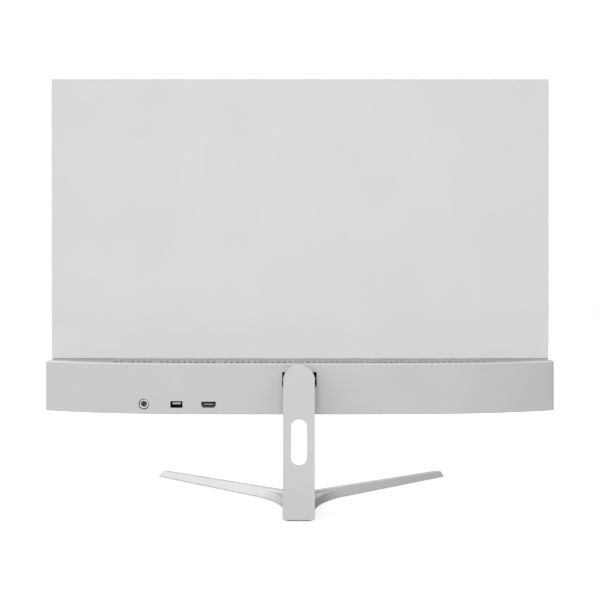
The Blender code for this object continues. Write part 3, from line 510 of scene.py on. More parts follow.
def combine(obj: bpy.types.Object, tool: bpy.types.Object, operation: str = "DIFFERENCE") -> None:
    """Cut with a tool, or join it on, and throw the tool away."""
    apply_modifier(obj, "BOOLEAN", operation=operation, object=tool, solver="EXACT")
    bpy.data.objects.remove(tool)


def join(pieces: Sequence[bpy.types.Object]) -> bpy.types.Object:
    """Join pieces into the first of them."""
    select_only(pieces[0])
    for piece in pieces:
        piece.select_set(True)
    bpy.ops.object.join()
    return pieces[0]


def copies(model: bpy.types.Object, places: Sequence[Sequence[float]]) -> list[bpy.types.Object]:
    """Copy a model to places, each copy with its own mesh, and throw the model away."""
    made = []
    for number, place in enumerate(places, 1):
        copy = model.copy()
        copy.data = model.data.copy()
        copy.name = f"{model.name}_{number}"
        copy.location = place
        bpy.context.collection.objects.link(copy)
        made.append(settle(copy))
    bpy.data.objects.remove(model)
    return made


def add_slot_tool(name: str, centre: Sequence[float], length: float, width: float,
                  height: float) -> bpy.types.Object:
    """An upright tool with round ends, longest along Y, that cuts a slot."""
    half = Vector((width / 2, length / 2, height / 2))
    tool = add_block(name, Vector(centre) - half, Vector(centre) + half)
    round_edges(tool, lambda a, b: abs(a.z - b.z) > height / 2, width * 0.499, 8)
    return tool


def copy_of_node(node: str, name: str) -> bpy.types.Object:
    """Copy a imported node's mesh into a new object, with its loose triangles merged."""
    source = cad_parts[node]
    piece = bpy.data.objects.new(name, source.data.copy())
    bpy.context.collection.objects.link(piece)
    piece.data.materials.clear()
    select_only(piece)
    bpy.ops.object.mode_set(mode="EDIT")
    bpy.ops.mesh.select_all(action="SELECT")
    bpy.ops.mesh.remove_doubles(threshold=2e-6)
    bpy.ops.mesh.dissolve_limited(angle_limit=math.radians(0.6))
    object_mode()
    return piece


@dataclass(frozen=True)
class Hand:
    """Hands a finished piece over: its finish, shading, body and the nodes it stands for."""

    body: Body
    slot: str
    smooth_degrees: float = 32.0

    def over(self, piece: bpy.types.Object, finish: GrainedFinish,
             stands_for: Sequence[str] = ()) -> bpy.types.Object:
        """Dress and shade a piece and let it ride.

        Args:
            piece: the finished mesh object.
            finish: its finish, used where the piece has no finish of its own yet.
            stands_for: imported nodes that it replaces.

        Returns:
            The piece.
        """
        if not piece.data.materials:
            dress(piece, finish)
        select_only(piece)
        bpy.ops.object.shade_smooth_by_angle(angle=math.radians(self.smooth_degrees))
        apply_modifier(piece, "WEIGHTED_NORMAL", keep_sharp=True, weight=90)
        if stands_for:
            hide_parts(*stands_for)
        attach(piece, self.body.value)
        LOG.info("%s: %d faces, on %s", piece.name, len(piece.data.polygons), self.body.value)
        return piece


# ------------------------------------------------------------------ display

@dataclass
class Display:
    """Back cover, lower front cover and camera round the display."""

    cover_wall: float = 1.5 * MM
    cover_edge: float = 0.7 * MM
    corner: float = 1.2 * MM
    lower_wall: float = 1.8 * MM
    lower_edge: float = 0.6 * MM
    spare: float = 10.0 * MM
    neck_gap_half: float = 0.205
    neck_gap_rise: float = 3 * MM
    lens_radius: float = 1.6 * MM
    lens_share: float = 0.62
    lens_bulge: float = 0.12
    ring_width: float = 0.7 * MM
    ring_thickness: float = 0.26 * MM
    ring_steps: tuple[tuple[float, float], ...] = ((0.25 * MM, 0.0), (0.45 * MM, -0.12 * MM))

    def build(self) -> None:
        """Make the three pieces."""
        self._back_cover()
        self._lower_cover()
        self._camera()

    def _back_cover(self) -> None:
        """A flat pan: square corners, a softened rim, open towards the glass."""
        low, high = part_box("display_back_cover")
        pan = add_block("back_cover_pan", low - Vector((0, self.spare, 0)), high)
        round_edges(pan, lambda a, b: abs(a.y - b.y) > self.spare / 2, self.corner, 4)
        round_edges(pan, behind(high.y - MM / 10), self.cover_edge, 4)
        trim(pan, low, (0, -1, 0), fill=False)
        thicken(pan, self.cover_wall)
        gap = add_block("neck_gap", (-self.neck_gap_half, low.y - MM, low.z - MM),
                        (self.neck_gap_half, -self.cover_wall, low.z + self.neck_gap_rise))
        combine(pan, gap)
        Hand(Body.HEAD, "display_back_cover").over(pan, COVER_LACQUER, ["display_back_cover"])

    def _lower_cover(self) -> None:
        """The strip below the glass: a tray, open at the back and at the top."""
        low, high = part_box("front_lower_cover")
        tray = add_block("lower_cover_tray", low, high + Vector((0, self.spare, self.spare)))
        round_edges(tray, lambda a, b: max(a.z, b.z) < low.z + MM / 10 and along_y(a, b),
                    self.corner, 4)
        round_edges(tray, lambda a, b: max(a.y, b.y) < low.y + MM / 10 and min(a.z, b.z) < high.z,
                    self.lower_edge, 3)
        trim(tray, high, (0, 1, 0), fill=False)
        trim(tray, high, (0, 0, 1), fill=False)
        thicken(tray, self.lower_wall)
        Hand(Body.HEAD, "front_lower_cover").over(tray, COVER_LACQUER, ["front_lower_cover"])

    def _camera(self) -> None:
        """A small lens in a dark ring, flush in the glass above the picture."""
        glass_low, glass_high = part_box("screen_glass")
        module_low, module_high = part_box("camera_module")
        place = Vector((0.0, glass_low.y + 0.1 * MM, (module_low.z + module_high.z) / 2))
        ring = add_rod("camera_ring", place, self.lens_radius + self.ring_width,
                       self.ring_thickness, Axis.Y)
        for inset, depth in self.ring_steps:
            pick_faces(ring, lambda middle, normal: normal.y < -0.9 and abs(middle.x) < MM / 10)
            bpy.ops.mesh.inset(thickness=inset, depth=depth)
            object_mode()
        Hand(Body.HEAD, "camera_module").over(ring, BLACK_NYLON)
        bpy.ops.mesh.primitive_uv_sphere_add(
            segments=32, ring_count=16, radius=self.lens_radius * self.lens_share, location=place,
            scale=(1.0, self.lens_bulge, 1.0))
        lens = settle(bpy.context.object)
        lens.name = "camera_lens"
        Hand(Body.HEAD, "camera_module", 60.0).over(lens, LENS_COATING)


# ------------------------------------------------------------------ rear housing

@dataclass
class RearHousing:
    """The bowed shell with its air slots, sockets' openings and hinge window.

    The shell is made with spare length in front, which is cut off last. Inlets under the
    speakers are given as place across, place behind the panel plane and number of slots.
    """

    wall: float = 2.2 * MM
    front_spare: float = 12 * MM
    front_margin: float = 11 * MM
    depth_end: float = 23.0 * MM
    bow_power: float = 3.6
    top_fall: float = 0.0105
    stations: int = 72
    top_edge: float = 2.0 * MM
    bottom_edge: float = 0.8 * MM
    corner: float = 3.4 * MM
    slot_pitch: float = 6.1 * MM
    slot_width: float = 3.0 * MM
    slot_length: float = 20.0 * MM
    slot_setback: float = 13.5 * MM
    slot_half_count: int = 32
    ribs: tuple[float, ...] = (0.179, 0.150, 0.080, -0.178)
    # How far up and back a rim face must look to take the painted highlight.
    painted_highlight_facing: float = 0.2
    tool_height: float = 8 * MM
    inlet_width: float = 2.4 * MM
    inlet_pitch_share: float = 0.9
    fan_inlets: tuple[int, float] = (9, 30 * MM)
    speaker_inlets: tuple[tuple[float, float, int], ...] = ((-0.232, 0.012, 6), (0.214, 0.024, 4))
    speaker_inlet_length: float = 9 * MM
    button_hole: tuple[float, float] = (14.6 * MM, 5.6 * MM)
    screw_hole: float = 1.9 * MM
    screw_sink: float = 3.3 * MM
    screw_sink_depth: float = 2 * MM
    # Dark sheets of painted shade under the slots: how deep they sit, how thick they are and their
    # gaps.
    shade_sheet_depth: float = 1.1 * MM
    shade_sheet_thickness: float = 1.6 * MM
    shade_sheet_side_gap: float = 0.1 * MM
    shade_sheet_end_gap: float = 0.2 * MM
    port_gap: float = 0.3 * MM
    window_low: tuple[float, float, float] = (-17.6 * MM, 0.050, 0.12405)
    window_high: tuple[float, float, float] = (17.6 * MM, 0.070, 0.13935)
    window_corner: float = 0.8 * MM

    def build(self) -> None:
        """Make the shell and the dark sheets of painted shade under its slots."""
        self.low, self.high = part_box("rear_housing")
        self.half = self.high.x
        shell = self._solid()
        self._bow(shell)
        self._slope_and_round(shell)
        shell.data.materials.append(FINISHES.get(HOUSING_MOULDING))
        # The inner skin takes the near-black painted shade.
        shell.data.materials.append(FINISHES.get(INNER_PAINTED_SHADE))
        thicken(shell, self.wall, inner_slot=1)
        # The third slot is a painted highlight: rim faces that look up and back take the paler
        # moulding.
        shell.data.materials.append(FINISHES.get(HOUSING_RIM_PAINTED_HIGHLIGHT))
        for face in shell.data.polygons:
            if min(face.normal.y, face.normal.z) > self.painted_highlight_facing:
                face.material_index = 2
        combine(shell, self._slots())
        combine(shell, self._floor_slots())
        for tool in self._socket_tools():
            combine(shell, tool)
        Hand(Body.HEAD, "rear_housing", 30.0).over(shell, HOUSING_MOULDING, ["rear_housing"])
        self._shade_sheets()

    def depth_at(self, x: float) -> float:
        """Depth of the housing behind the panel plane at a place across the machine."""
        share = min(abs(x) / self.half, 1.0)
        return self.high.y - (self.high.y - self.depth_end) * share ** self.bow_power

    def top_at(self, y: float) -> float:
        """Height of the housing's top at a depth."""
        return self.high.z - self.top_fall * (y - self.low.y)

    def _solid(self) -> bpy.types.Object:
        """A block cut into stations across the machine."""
        block = add_block("housing_shell", self.low - Vector((0, self.front_spare, 0)),
                          self.high + Vector((0, 0, MM)))
        pick_edges(block, lambda a, b: abs(a.x - b.x) > self.half)
        bpy.ops.mesh.subdivide(number_cuts=self.stations - 1)
        object_mode()
        return block

    def _bow(self, shell: bpy.types.Object) -> None:
        """Push the rear of each pair of stations in, so that the back bows out in plan."""
        rear = self.high.y
        step = 2 * self.half / self.stations
        for number in range(self.stations // 2 + 1):
            x = number * step
            push = self.depth_at(x) - rear
            if abs(push) < FINE_TOUCH / 10:
                continue
            pick_edges(shell, lambda a, b: min(a.y, b.y) > rear - FINE_TOUCH
                       and abs(abs(a.x) - x) < TOUCH and abs(a.x - b.x) < TOUCH)
            bpy.ops.transform.translate(value=(0.0, push, 0.0))
            object_mode()

    def _slope_and_round(self, shell: bpy.types.Object) -> None:
        """Let the top fall to the rear, round the rims, and open the front."""
        top = Vector((0, self.low.y, self.high.z))
        trim(shell, top, Vector((0, self.top_fall, 1)).normalized(), fill=True)
        ends = self.half - TOUCH
        front = self.low.y - self.front_margin

        def is_corner(a: Vector, b: Vector) -> bool:
            """Whether an edge is one of the two upright ones at the rear."""
            return (min(abs(a.x), abs(b.x)) > ends and min(a.y, b.y) > self.depth_end - MM
                    and abs(a.z - b.z) > 20 * MM)

        def is_top(a: Vector, b: Vector) -> bool:
            """Whether an edge belongs to the top's rim, apart from its front."""
            return (all(place.z > self.top_at(place.y) - TOUCH for place in (a, b))
                    and max(a.y, b.y) >= front)

        def is_bottom(a: Vector, b: Vector) -> bool:
            """Whether an edge belongs to the bottom's rim, apart from its front."""
            return max(a.z, b.z) < self.low.z + TOUCH and max(a.y, b.y) >= front

        round_edges(shell, is_corner, self.corner, 6)
        round_edges(shell, is_top, self.top_edge, 6)
        round_edges(shell, is_bottom, self.bottom_edge, 3)
        trim(shell, self.low, (0, -1, 0), fill=False)

    def slot_places(self) -> list[float]:
        """Places of the air slots across the machine, without the wider ribs."""
        numbers = range(-self.slot_half_count, self.slot_half_count)
        places = [(number + 0.5) * self.slot_pitch for number in numbers]
        return [x for x in places if all(abs(x - rib) > self.slot_pitch / 2 for rib in self.ribs)]

    def _slots(self) -> bpy.types.Object:
        """One tool for the whole row of air slots."""
        model = add_slot_tool("air_slot", (0, 0, 0), self.slot_length, self.slot_width, 12 * MM)
        return join(copies(model, [(x, self.depth_at(x) - self.slot_setback, self.high.z)
                                   for x in self.slot_places()]))

    def _floor_slots(self) -> bpy.types.Object:
        """One tool for the inlets under fan and speakers, and for button and screws."""
        fan_low, fan_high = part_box("fan_housing")
        fan = (fan_low + fan_high) / 2
        pitch = self.slot_pitch * self.inlet_pitch_share
        tools = []
        groups = [(fan.x, fan.y, *self.fan_inlets)]
        groups += [(*group, self.speaker_inlet_length) for group in self.speaker_inlets]
        for x, y, count, length in groups:
            model = add_slot_tool("inlet", (0, 0, 0), length, self.inlet_width, self.tool_height)
            tools += copies(model, [(x + (number - (count - 1) / 2) * pitch, y, self.low.z)
                                    for number in range(count)])
        button_low, button_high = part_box("power_button")
        hole = add_slot_tool("button_hole", (0, 0, 0), *self.button_hole, self.tool_height)
        hole.rotation_euler.z = math.radians(90)
        hole.location = ((button_low.x + button_high.x) / 2, (button_low.y + button_high.y) / 2,
                         self.low.z)
        tools.append(settle(hole))
        tools += self._screw_tools("screw_hole", self.screw_hole, self.tool_height, 24)
        return join(tools)

    def _screw_tools(self, name: str, radius: float, height: float,
                     sides: int) -> list[bpy.types.Object]:
        """Upright round tools where the housing's two screws sit.

        Args:
            name: the tools' name.
            radius: their radius.
            height: their whole height, half of it above the housing's underside.
            sides: their number of sides.

        Returns:
            The two tools.
        """
        tools = []
        for side in ("left", "right"):
            low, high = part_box(f"housing_screw_{side}")
            middle = (low + high) / 2
            tools.append(add_rod(name, (middle.x, middle.y, self.low.z), radius, height,
                                 sides=sides))
        return tools

    def _socket_tools(self) -> list[bpy.types.Object]:
        """Tools for the countersinks, the three sockets and the hinge window."""
        tools = self._screw_tools("screw_sink", self.screw_sink, self.screw_sink_depth, 32)
        for socket, rounding in (("usb_port_shell", 0.8 * MM), ("hdmi_port_shell", 0.0)):
            tools.append(socket_block(socket, "socket_hole", self.port_gap, 15 * MM, rounding))
        low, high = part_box("dc_jack_shell")
        middle = (low + high) / 2
        radius = (high.x - low.x) / 2 + self.port_gap
        tools.append(add_rod("jack_hole", (middle.x, high.y, middle.z), radius, 20 * MM, Axis.Y))
        window = add_block("hinge_window", self.window_low, self.window_high)
        round_edges(window, along_y, self.window_corner, 3)
        tools.append(window)
        return tools

    def _shade_sheets(self) -> None:
        """Dark sheets pressed into the slots from below: painted shade for the inside seen through
        them.
        """
        strips = []
        half = Vector((self.slot_width / 2 - self.shade_sheet_side_gap,
                       self.slot_length / 2 - self.shade_sheet_end_gap, 0))
        for x in self.slot_places():
            y = self.depth_at(x) - self.slot_setback
            top = self.top_at(y + self.slot_length / 2) - self.shade_sheet_depth
            strip = add_block("shade_sheet", Vector((x, y, top - self.shade_sheet_thickness)) - half,
                              Vector((x, y, top)) + half)
            round_edges(strip, lambda a, b: abs(a.z - b.z) > MM, half.x * 0.95, 3)
            strips.append(strip)
        shade_sheet = join(strips)
        shade_sheet.name = "slot_shade_sheets"
        Hand(Body.HEAD, "fan_housing").over(shade_sheet, SLOT_SHADE_SHEET)


# ------------------------------------------------------------------ connectors

HDMI_CUT = 2.0 * MM
HDMI_CORNER = 0.5 * MM


def socket_block(node: str, name: str, grow: float, reach: float,
                 rounding: float) -> bpy.types.Object:
    """A block with a socket's outline.

    Args:
        node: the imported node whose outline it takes.
        name: the block's name.
        grow: how far it stands outside that outline on all sides.
        reach: how far it stands out of the node's face.
        rounding: radius of its four long edges; 0 cuts off the lower two instead.

    Returns:
        The block.
    """
    low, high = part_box(node)
    side = Vector((grow, 0, grow))
    block = add_block(name, low - side, high + side + Vector((0, reach, 0)))
    if rounding:
        round_edges(block, along_y, rounding, 4)
        return block
    round_edges(block, lambda a, b: along_y(a, b) and max(a.z, b.z) < low.z + MM, HDMI_CUT, 1)
    round_edges(block, lambda a, b: along_y(a, b) and min(a.z, b.z) > low.z + 1.5 * MM,
                HDMI_CORNER, 3)
    return block


@dataclass
class Connectors:
    """Power inlet, USB-A and HDMI sockets."""

    sheet: float = 0.35 * MM
    spring_half: float = 1.0 * MM
    spring_reach: tuple[float, float] = (5 * MM, 2 * MM)
    nose: float = 0.3 * MM
    contact_thickness: float = 0.12 * MM
    contact_edge: float = 0.06 * MM
    contact_margin: float = 0.6 * MM
    contact_sink: float = 0.02 * MM
    jack_bore: float = 2.5 * MM
    collar_edge: float = 1.3 * MM
    jack_floor: float = 2 * MM
    pin_tip: float = 0.4 * MM
    slit_half: float = 0.12 * MM
    slit_length: float = 3 * MM

    def build(self) -> None:
        """Make the three sockets."""
        self._shell("usb_port_shell", "usb_shell", 0.6 * MM)
        self._shell("hdmi_port_shell", "hdmi_shell", 0.0)
        self._tongue("usb_port_tongue", "usb_tongue", LIGHT_INSULATOR)
        self._tongue("hdmi_port_tongue", "hdmi_tongue", GREY_INSULATOR)
        self._contacts("usb_port_tongue", "usb_contacts", 4, 1.0 * MM, 9.0 * MM)
        self._contacts("hdmi_port_tongue", "hdmi_contacts", 10, 0.45 * MM, 9.5 * MM)
        self._jack()
        self._pin()

    def _shell(self, node: str, name: str, rounding: float) -> None:
        """A folded sheet shell, open at the rear, dark inside."""
        low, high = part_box(node)
        shell = socket_block(node, name, 0.0, 0.0, rounding)
        # The shell's rim takes the dark nickel: painted shade round the opening.
        shell.data.materials.append(FINISHES.get(BLACK_NICKEL_AND_SHADE))
        # The USB shell's inside takes the painted shade; the HDMI's takes bare grey sheet.
        shell.data.materials.append(FINISHES.get(SOCKET_PAINTED_SHADE if rounding else SOCKET_GREY))
        pick_faces(shell, lambda middle, normal: normal.y > 0.9)
        bpy.ops.mesh.delete(type="FACE")
        object_mode()
        thicken(shell, self.sheet, inner_slot=1)
        for sign in (-1, 1):
            x = (low.x + high.x) / 2 + sign * (high.x - low.x) / 4
            start, end = self.spring_reach
            finger = add_block("spring_window",
                               (x - self.spring_half, high.y - start, high.z - MM / 2),
                               (x + self.spring_half, high.y - end, high.z + MM / 2))
            combine(shell, finger)
        Hand(Body.HEAD, node).over(shell, BLACK_NICKEL_AND_SHADE, [node])

    def _tongue(self, node: str, name: str, finish: GrainedFinish) -> None:
        """The moulded tongue that carries the contacts, its nose rounded."""
        low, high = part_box(node)
        tongue = add_block(name, low, high)
        round_edges(tongue, behind(high.y - MM / 10), self.nose, 3)
        Hand(Body.HEAD, node).over(tongue, finish, [node])

    def _contacts(self, node: str, name: str, count: int, width: float, span: float) -> None:
        """Gilt strips on the underside of a tongue."""
        low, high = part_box(node)
        middle = (low.x + high.x) / 2
        pitch = (high.x - low.x - width - self.contact_margin) / (count - 1)
        model = add_block(name, (-width / 2, -span / 2, -self.contact_thickness),
                          (width / 2, span / 2, 0.0))
        round_edges(model, lambda a, b: max(a.z, b.z) < -FINE_TOUCH and min(a.y, b.y) > 0,
                    self.contact_edge, 2)
        places = [(middle + (number - (count - 1) / 2) * pitch,
                   high.y - span / 2 - self.contact_margin, low.z + self.contact_sink)
                  for number in range(count)]
        strips = join(copies(model, places))
        strips.name = name
        Hand(Body.HEAD, node).over(strips, PLATED_BRASS)

    def _jack(self) -> None:
        """The power inlet: a barrel with a rounded collar and a deep bore."""
        low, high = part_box("dc_jack_shell")
        middle = (low + high) / 2
        radius = (high.x - low.x) / 2
        barrel = add_rod("jack_barrel", middle, radius, high.y - low.y, Axis.Y, 64)
        barrel.data.materials.append(FINISHES.get(DULL_NICKEL))
        barrel.data.materials.append(FINISHES.get(SOCKET_GREY))

        def from_axis(place: Vector) -> float:
            """Distance of a place from the barrel's axis."""
            return (place - middle).xz.length

        pick_faces(barrel, lambda place, normal: normal.y > 0.99 and from_axis(place) < MM / 10)
        bpy.ops.mesh.inset(thickness=radius - self.jack_bore, depth=0.0)
        bpy.ops.mesh.extrude_region_move(
            TRANSFORM_OT_translate={"value": (0, low.y + self.jack_floor - high.y, 0)})
        object_mode()
        for ring in (radius, self.jack_bore):
            round_edges(barrel, lambda a, b: min(a.y, b.y) > high.y - MM / 20
                        and all(abs(from_axis(place) - ring) < MM / 20 for place in (a, b)),
                        self.collar_edge, 6)
        for face in barrel.data.polygons:
            deep = low.y + MM < face.center.y < high.y - self.collar_edge - MM / 10
            inside = from_axis(face.center) < self.jack_bore + MM / 20
            face.material_index = int(deep and inside)
        Hand(Body.HEAD, "dc_jack_shell").over(barrel, DULL_NICKEL, ["dc_jack_shell"])

    def _pin(self) -> None:
        """The inlet's centre pin, with a split, rounded tip."""
        low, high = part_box("dc_jack_pin")
        middle = (low + high) / 2
        pin = add_rod("jack_pin", middle, (high.x - low.x) / 2, high.y - low.y, Axis.Y, 32)
        round_edges(pin, behind(high.y - MM / 10), self.pin_tip, 3)
        slit = add_block("slit", (low.x - MM, high.y - self.slit_length, middle.z - self.slit_half),
                         (high.x + MM, high.y + MM, middle.z + self.slit_half))
        combine(pin, slit)
        Hand(Body.HEAD, "dc_jack_pin").over(pin, BLACK_NICKEL_AND_SHADE, ["dc_jack_pin"])


# ------------------------------------------------------------------ stand

@dataclass
class Stand:
    """Post, base, hinge arm and feet.

    The post is made upright with its rear face on Y = 0 and is then leant by top_height
    and the two depths. The foot's groove is made of insets and the depths they sink by.
    """

    post_thickness: float = 8.0 * MM
    top_height: float = 149.0 * MM
    top_y: float = 83.0 * MM
    foot_y: float = 109.6 * MM
    post_edge: float = 0.9 * MM
    foot_corner: float = 2.4 * MM
    slot_width: float = 15.8 * MM
    slot_low: float = 52.4 * MM
    slot_high: float = 96.3 * MM
    spare: float = 4 * MM
    tongue_half: float = 11 * MM
    tongue_rear: float = 0.104
    tongue_heights: tuple[float, float] = (1.5 * MM, 4.6 * MM)
    tongue_corner: float = 2 * MM
    hole_radius: float = 1.9 * MM
    hole_middle: float = 3 * MM
    tool_height: float = 8 * MM
    pad_gap: float = 0.3 * MM
    base_edge: float = 0.45 * MM
    arm_edge: float = 0.4 * MM
    sole_edge: float = 0.3 * MM
    sole_steps: tuple[tuple[float, float], ...] = (
        (0.9 * MM, 0.0), (0.5 * MM, -0.35 * MM), (0.5 * MM, 0.0), (0.5 * MM, 0.35 * MM))

    def build(self) -> None:
        """Make the stand's pieces."""
        self.lean = math.atan2(self.foot_y - self.top_y, self.top_height)
        self._post()
        self._softened("base", "stand_base", STAND_CASTING, self.base_edge)
        self._softened("hinge_arm", "tilt_arm", BLACK_POWDER, self.arm_edge)
        for place in ("left", "right", "post"):
            self._foot(place)

    def _post(self) -> None:
        """A flat blade with a round top and a cable slot, leaning back, with its tongue."""
        low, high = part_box("post")
        half = high.x
        length = self.top_height / math.cos(self.lean)
        blade = add_block("stand_post", (-half, -self.post_thickness, -self.spare),
                          (half, 0.0, length))
        round_edges(blade, lambda a, b: along_y(a, b) and min(a.z, b.z) > length - MM,
                    half * 0.9999, 28)
        slot_half = Vector((self.slot_width / 2, 30 * MM, 0))
        span = [height / math.cos(self.lean) for height in (self.slot_low, self.slot_high)]
        slot = add_block("cable_slot", Vector((0, 0, span[0])) - slot_half,
                         Vector((0, 0, span[1])) + slot_half)
        round_edges(slot, along_y, self.slot_width * 0.4999, 14)
        combine(blade, slot)
        blade.rotation_euler.x = self.lean
        blade.location.y = self.foot_y
        settle(blade)
        trim(blade, low, (0, 0, -1), fill=True)
        floor = low.z + TOUCH
        round_edges(blade, lambda a, b: max(a.z, b.z) < floor and along_y(a, b),
                    self.foot_corner, 6)
        apply_modifier(blade, "BEVEL", width=self.post_edge, segments=4, limit_method="ANGLE",
                       angle_limit=math.radians(40))
        bottom, top = self.tongue_heights
        tongue = add_block("tongue", (-self.tongue_half, low.y, bottom),
                           (self.tongue_half, self.tongue_rear, top))
        round_edges(tongue, lambda a, b: max(a.y, b.y) < low.y + MM and abs(a.z - b.z) > MM,
                    self.tongue_corner, 4)
        combine(blade, tongue, "UNION")
        combine(blade, self._post_tools())
        # The post takes the darker copy of the stand's lacquer as painted shade.
        Hand(Body.STAND, "post", 30.0).over(blade, POST_LACQUER_PAINTED_SHADE, ["post"])

    def _post_tools(self) -> bpy.types.Object:
        """Screw holes in the tongue and the pocket for the rubber foot."""
        tools = []
        for place in ("front", "rear"):
            low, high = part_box(f"tongue_screw_{place}")
            middle = (low + high) / 2
            tools.append(add_rod("hole", (middle.x, middle.y, self.hole_middle), self.hole_radius,
                                 self.tool_height, sides=24))
        low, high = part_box("foot_pad_post")
        middle = (low + high) / 2
        pocket = add_slot_tool("pocket", (0, 0, 0), high.x - low.x + 2 * self.pad_gap,
                               high.y - low.y + 2 * self.pad_gap, self.tool_height)
        pocket.rotation_euler.z = math.radians(90)
        pocket.location = (middle.x, middle.y, high.z + self.pad_gap - self.tool_height / 2)
        tools.append(settle(pocket))
        return join(tools)

    def _softened(self, node: str, name: str, finish: GrainedFinish, edge: float) -> None:
        """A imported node's own shape, with the broken edges of a casting or pressing."""
        piece = copy_of_node(node, name)
        apply_modifier(piece, "BEVEL", width=edge, segments=3, limit_method="ANGLE",
                       angle_limit=math.radians(28), use_clamp_overlap=True)
        Hand(Body.STAND, node, 34.0).over(piece, finish, [node])

    def _foot(self, place: str) -> None:
        """A rubber foot with a softened rim and a shallow groove round its sole."""
        node = f"foot_pad_{place}"
        foot = copy_of_node(node, f"rubber_foot_{place}")
        for inset, depth in self.sole_steps:
            pick_faces(foot, lambda middle, normal: normal.z < -0.9 and foot_is_inner(foot, middle))
            bpy.ops.mesh.inset(thickness=inset, depth=depth)
            object_mode()
        round_edges(foot, lambda a, b: max(a.z, b.z) < TOUCH and on_rim_of(node, a)
                    and on_rim_of(node, b), self.sole_edge, 3)
        Hand(Body.STAND, node).over(foot, FOOT_RUBBER, [node])


def foot_is_inner(foot: bpy.types.Object, middle: Vector) -> bool:
    """Whether a face's middle is the middle of the sole, and so the innermost face."""
    corners = [Vector(corner) for corner in foot.bound_box]
    centre = sum(corners, Vector()) / len(corners)
    return (middle - centre).xy.length < 0.3 * MM


def on_rim_of(node: str, spot: Vector) -> bool:
    """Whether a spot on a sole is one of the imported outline's own corners."""
    return any((spot - vert.co).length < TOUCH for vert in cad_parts[node].data.vertices)


# ------------------------------------------------------------------ screws and button

@dataclass(frozen=True)
class Screw:
    """A pan-head screw with a cross recess, given the way from its head's top into the work."""

    node: str
    name: str
    body: Body
    into: tuple[float, float, float]
    head_radius: float
    head_height: float
    shank_radius: float = 1.5 * MM
    head_edge: float = 0.3 * MM
    tip_edge: float = 0.4 * MM
    recess_half: float = 0.32 * MM

    def build(self) -> None:
        """Make the screw along Z, then turn it into place."""
        low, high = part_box(self.node)
        way = Vector(self.into).normalized()
        reach = self._reach(low, high, way)
        head = add_rod(self.name, (0, 0, self.head_height / 2), self.head_radius,
                       self.head_height, sides=40)
        round_edges(head, below(FINE_TOUCH), min(self.head_edge, self.head_height / 2), 4)
        pick_faces(head, lambda middle, normal: normal.z > 0.99)
        bpy.ops.mesh.inset(thickness=self.head_radius - self.shank_radius, depth=0.0)
        bpy.ops.mesh.extrude_region_move(
            TRANSFORM_OT_translate={"value": (0, 0, reach - self.head_height)})
        object_mode()
        round_edges(head, lambda a, b: min(a.z, b.z) > reach - FINE_TOUCH, self.tip_edge, 2)
        combine(head, self._recess())
        head.rotation_euler = way.to_track_quat("Z", "Y").to_euler()
        middle = (low + high) / 2
        head.location = middle - way * reach / 2
        settle(head)
        Hand(self.body, self.node).over(head, SCREW_STEEL, [self.node])

    def _reach(self, low: Vector, high: Vector, way: Vector) -> float:
        """Whole length of the screw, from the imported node's box."""
        size = high - low
        if abs(way.z) > 0.99:
            return size.z
        return (size.y - 2 * self.head_radius * abs(way.z)) / abs(way.y)

    def _recess(self) -> bpy.types.Object:
        """A cross-shaped tool, a little narrower than the head."""
        arm = self.head_radius * 0.62
        depth = self.head_height * 0.7
        half = self.recess_half
        first = add_block("recess", (-arm, -half, -MM), (arm, half, depth))
        second = add_block("recess_arm", (-half, -arm, -MM), (half, arm, depth))
        combine(first, second, "UNION")
        return first


@dataclass
class PowerButton:
    """The button under the machine, with a ring sunk in its cap."""

    edge: float = 0.35 * MM
    mark_radius: float = 1.5 * MM
    mark_depth: float = 0.15 * MM

    def build(self) -> None:
        """Make the button."""
        low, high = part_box("power_button")
        middle = (low + high) / 2
        cap = copy_of_node("power_button", "button_cap")
        round_edges(cap, below(low.z + TOUCH), self.edge, 3)
        bpy.ops.mesh.primitive_torus_add(
            major_segments=40, minor_segments=8, major_radius=self.mark_radius,
            minor_radius=self.mark_depth * 1.3, location=(middle.x, middle.y, low.z))
        ring = settle(bpy.context.object)
        combine(cap, ring)
        Hand(Body.BUTTON, "power_button").over(cap, COVER_LACQUER, ["power_button"])


# How far the post's front leans back over its height, both in millimetres.
POST_LEAN = math.atan2(27.0, 149.0)
UP = (0.0, 0.0, 1.0)
INTO_POST = (0.0, math.cos(POST_LEAN), math.sin(POST_LEAN))


def build_screws() -> None:
    """Make all the screws that can be seen from outside."""
    kinds = (("arm", Body.STAND, ("upper", "lower"), INTO_POST, 2.7 * MM, 1.6 * MM),
             ("tongue", Body.STAND, ("front", "rear"), UP, 2.8 * MM, 1.3 * MM),
             ("housing", Body.HEAD, ("left", "right"), UP, 2.6 * MM, 0.6 * MM))
    for kind, body, places, into, radius, height in kinds:
        for place in places:
            Screw(f"{kind}_screw_{place}", f"{kind}_bolt_{place}", body, into, radius,
                  height).build()


# ------------------------------------------------------------------ studio

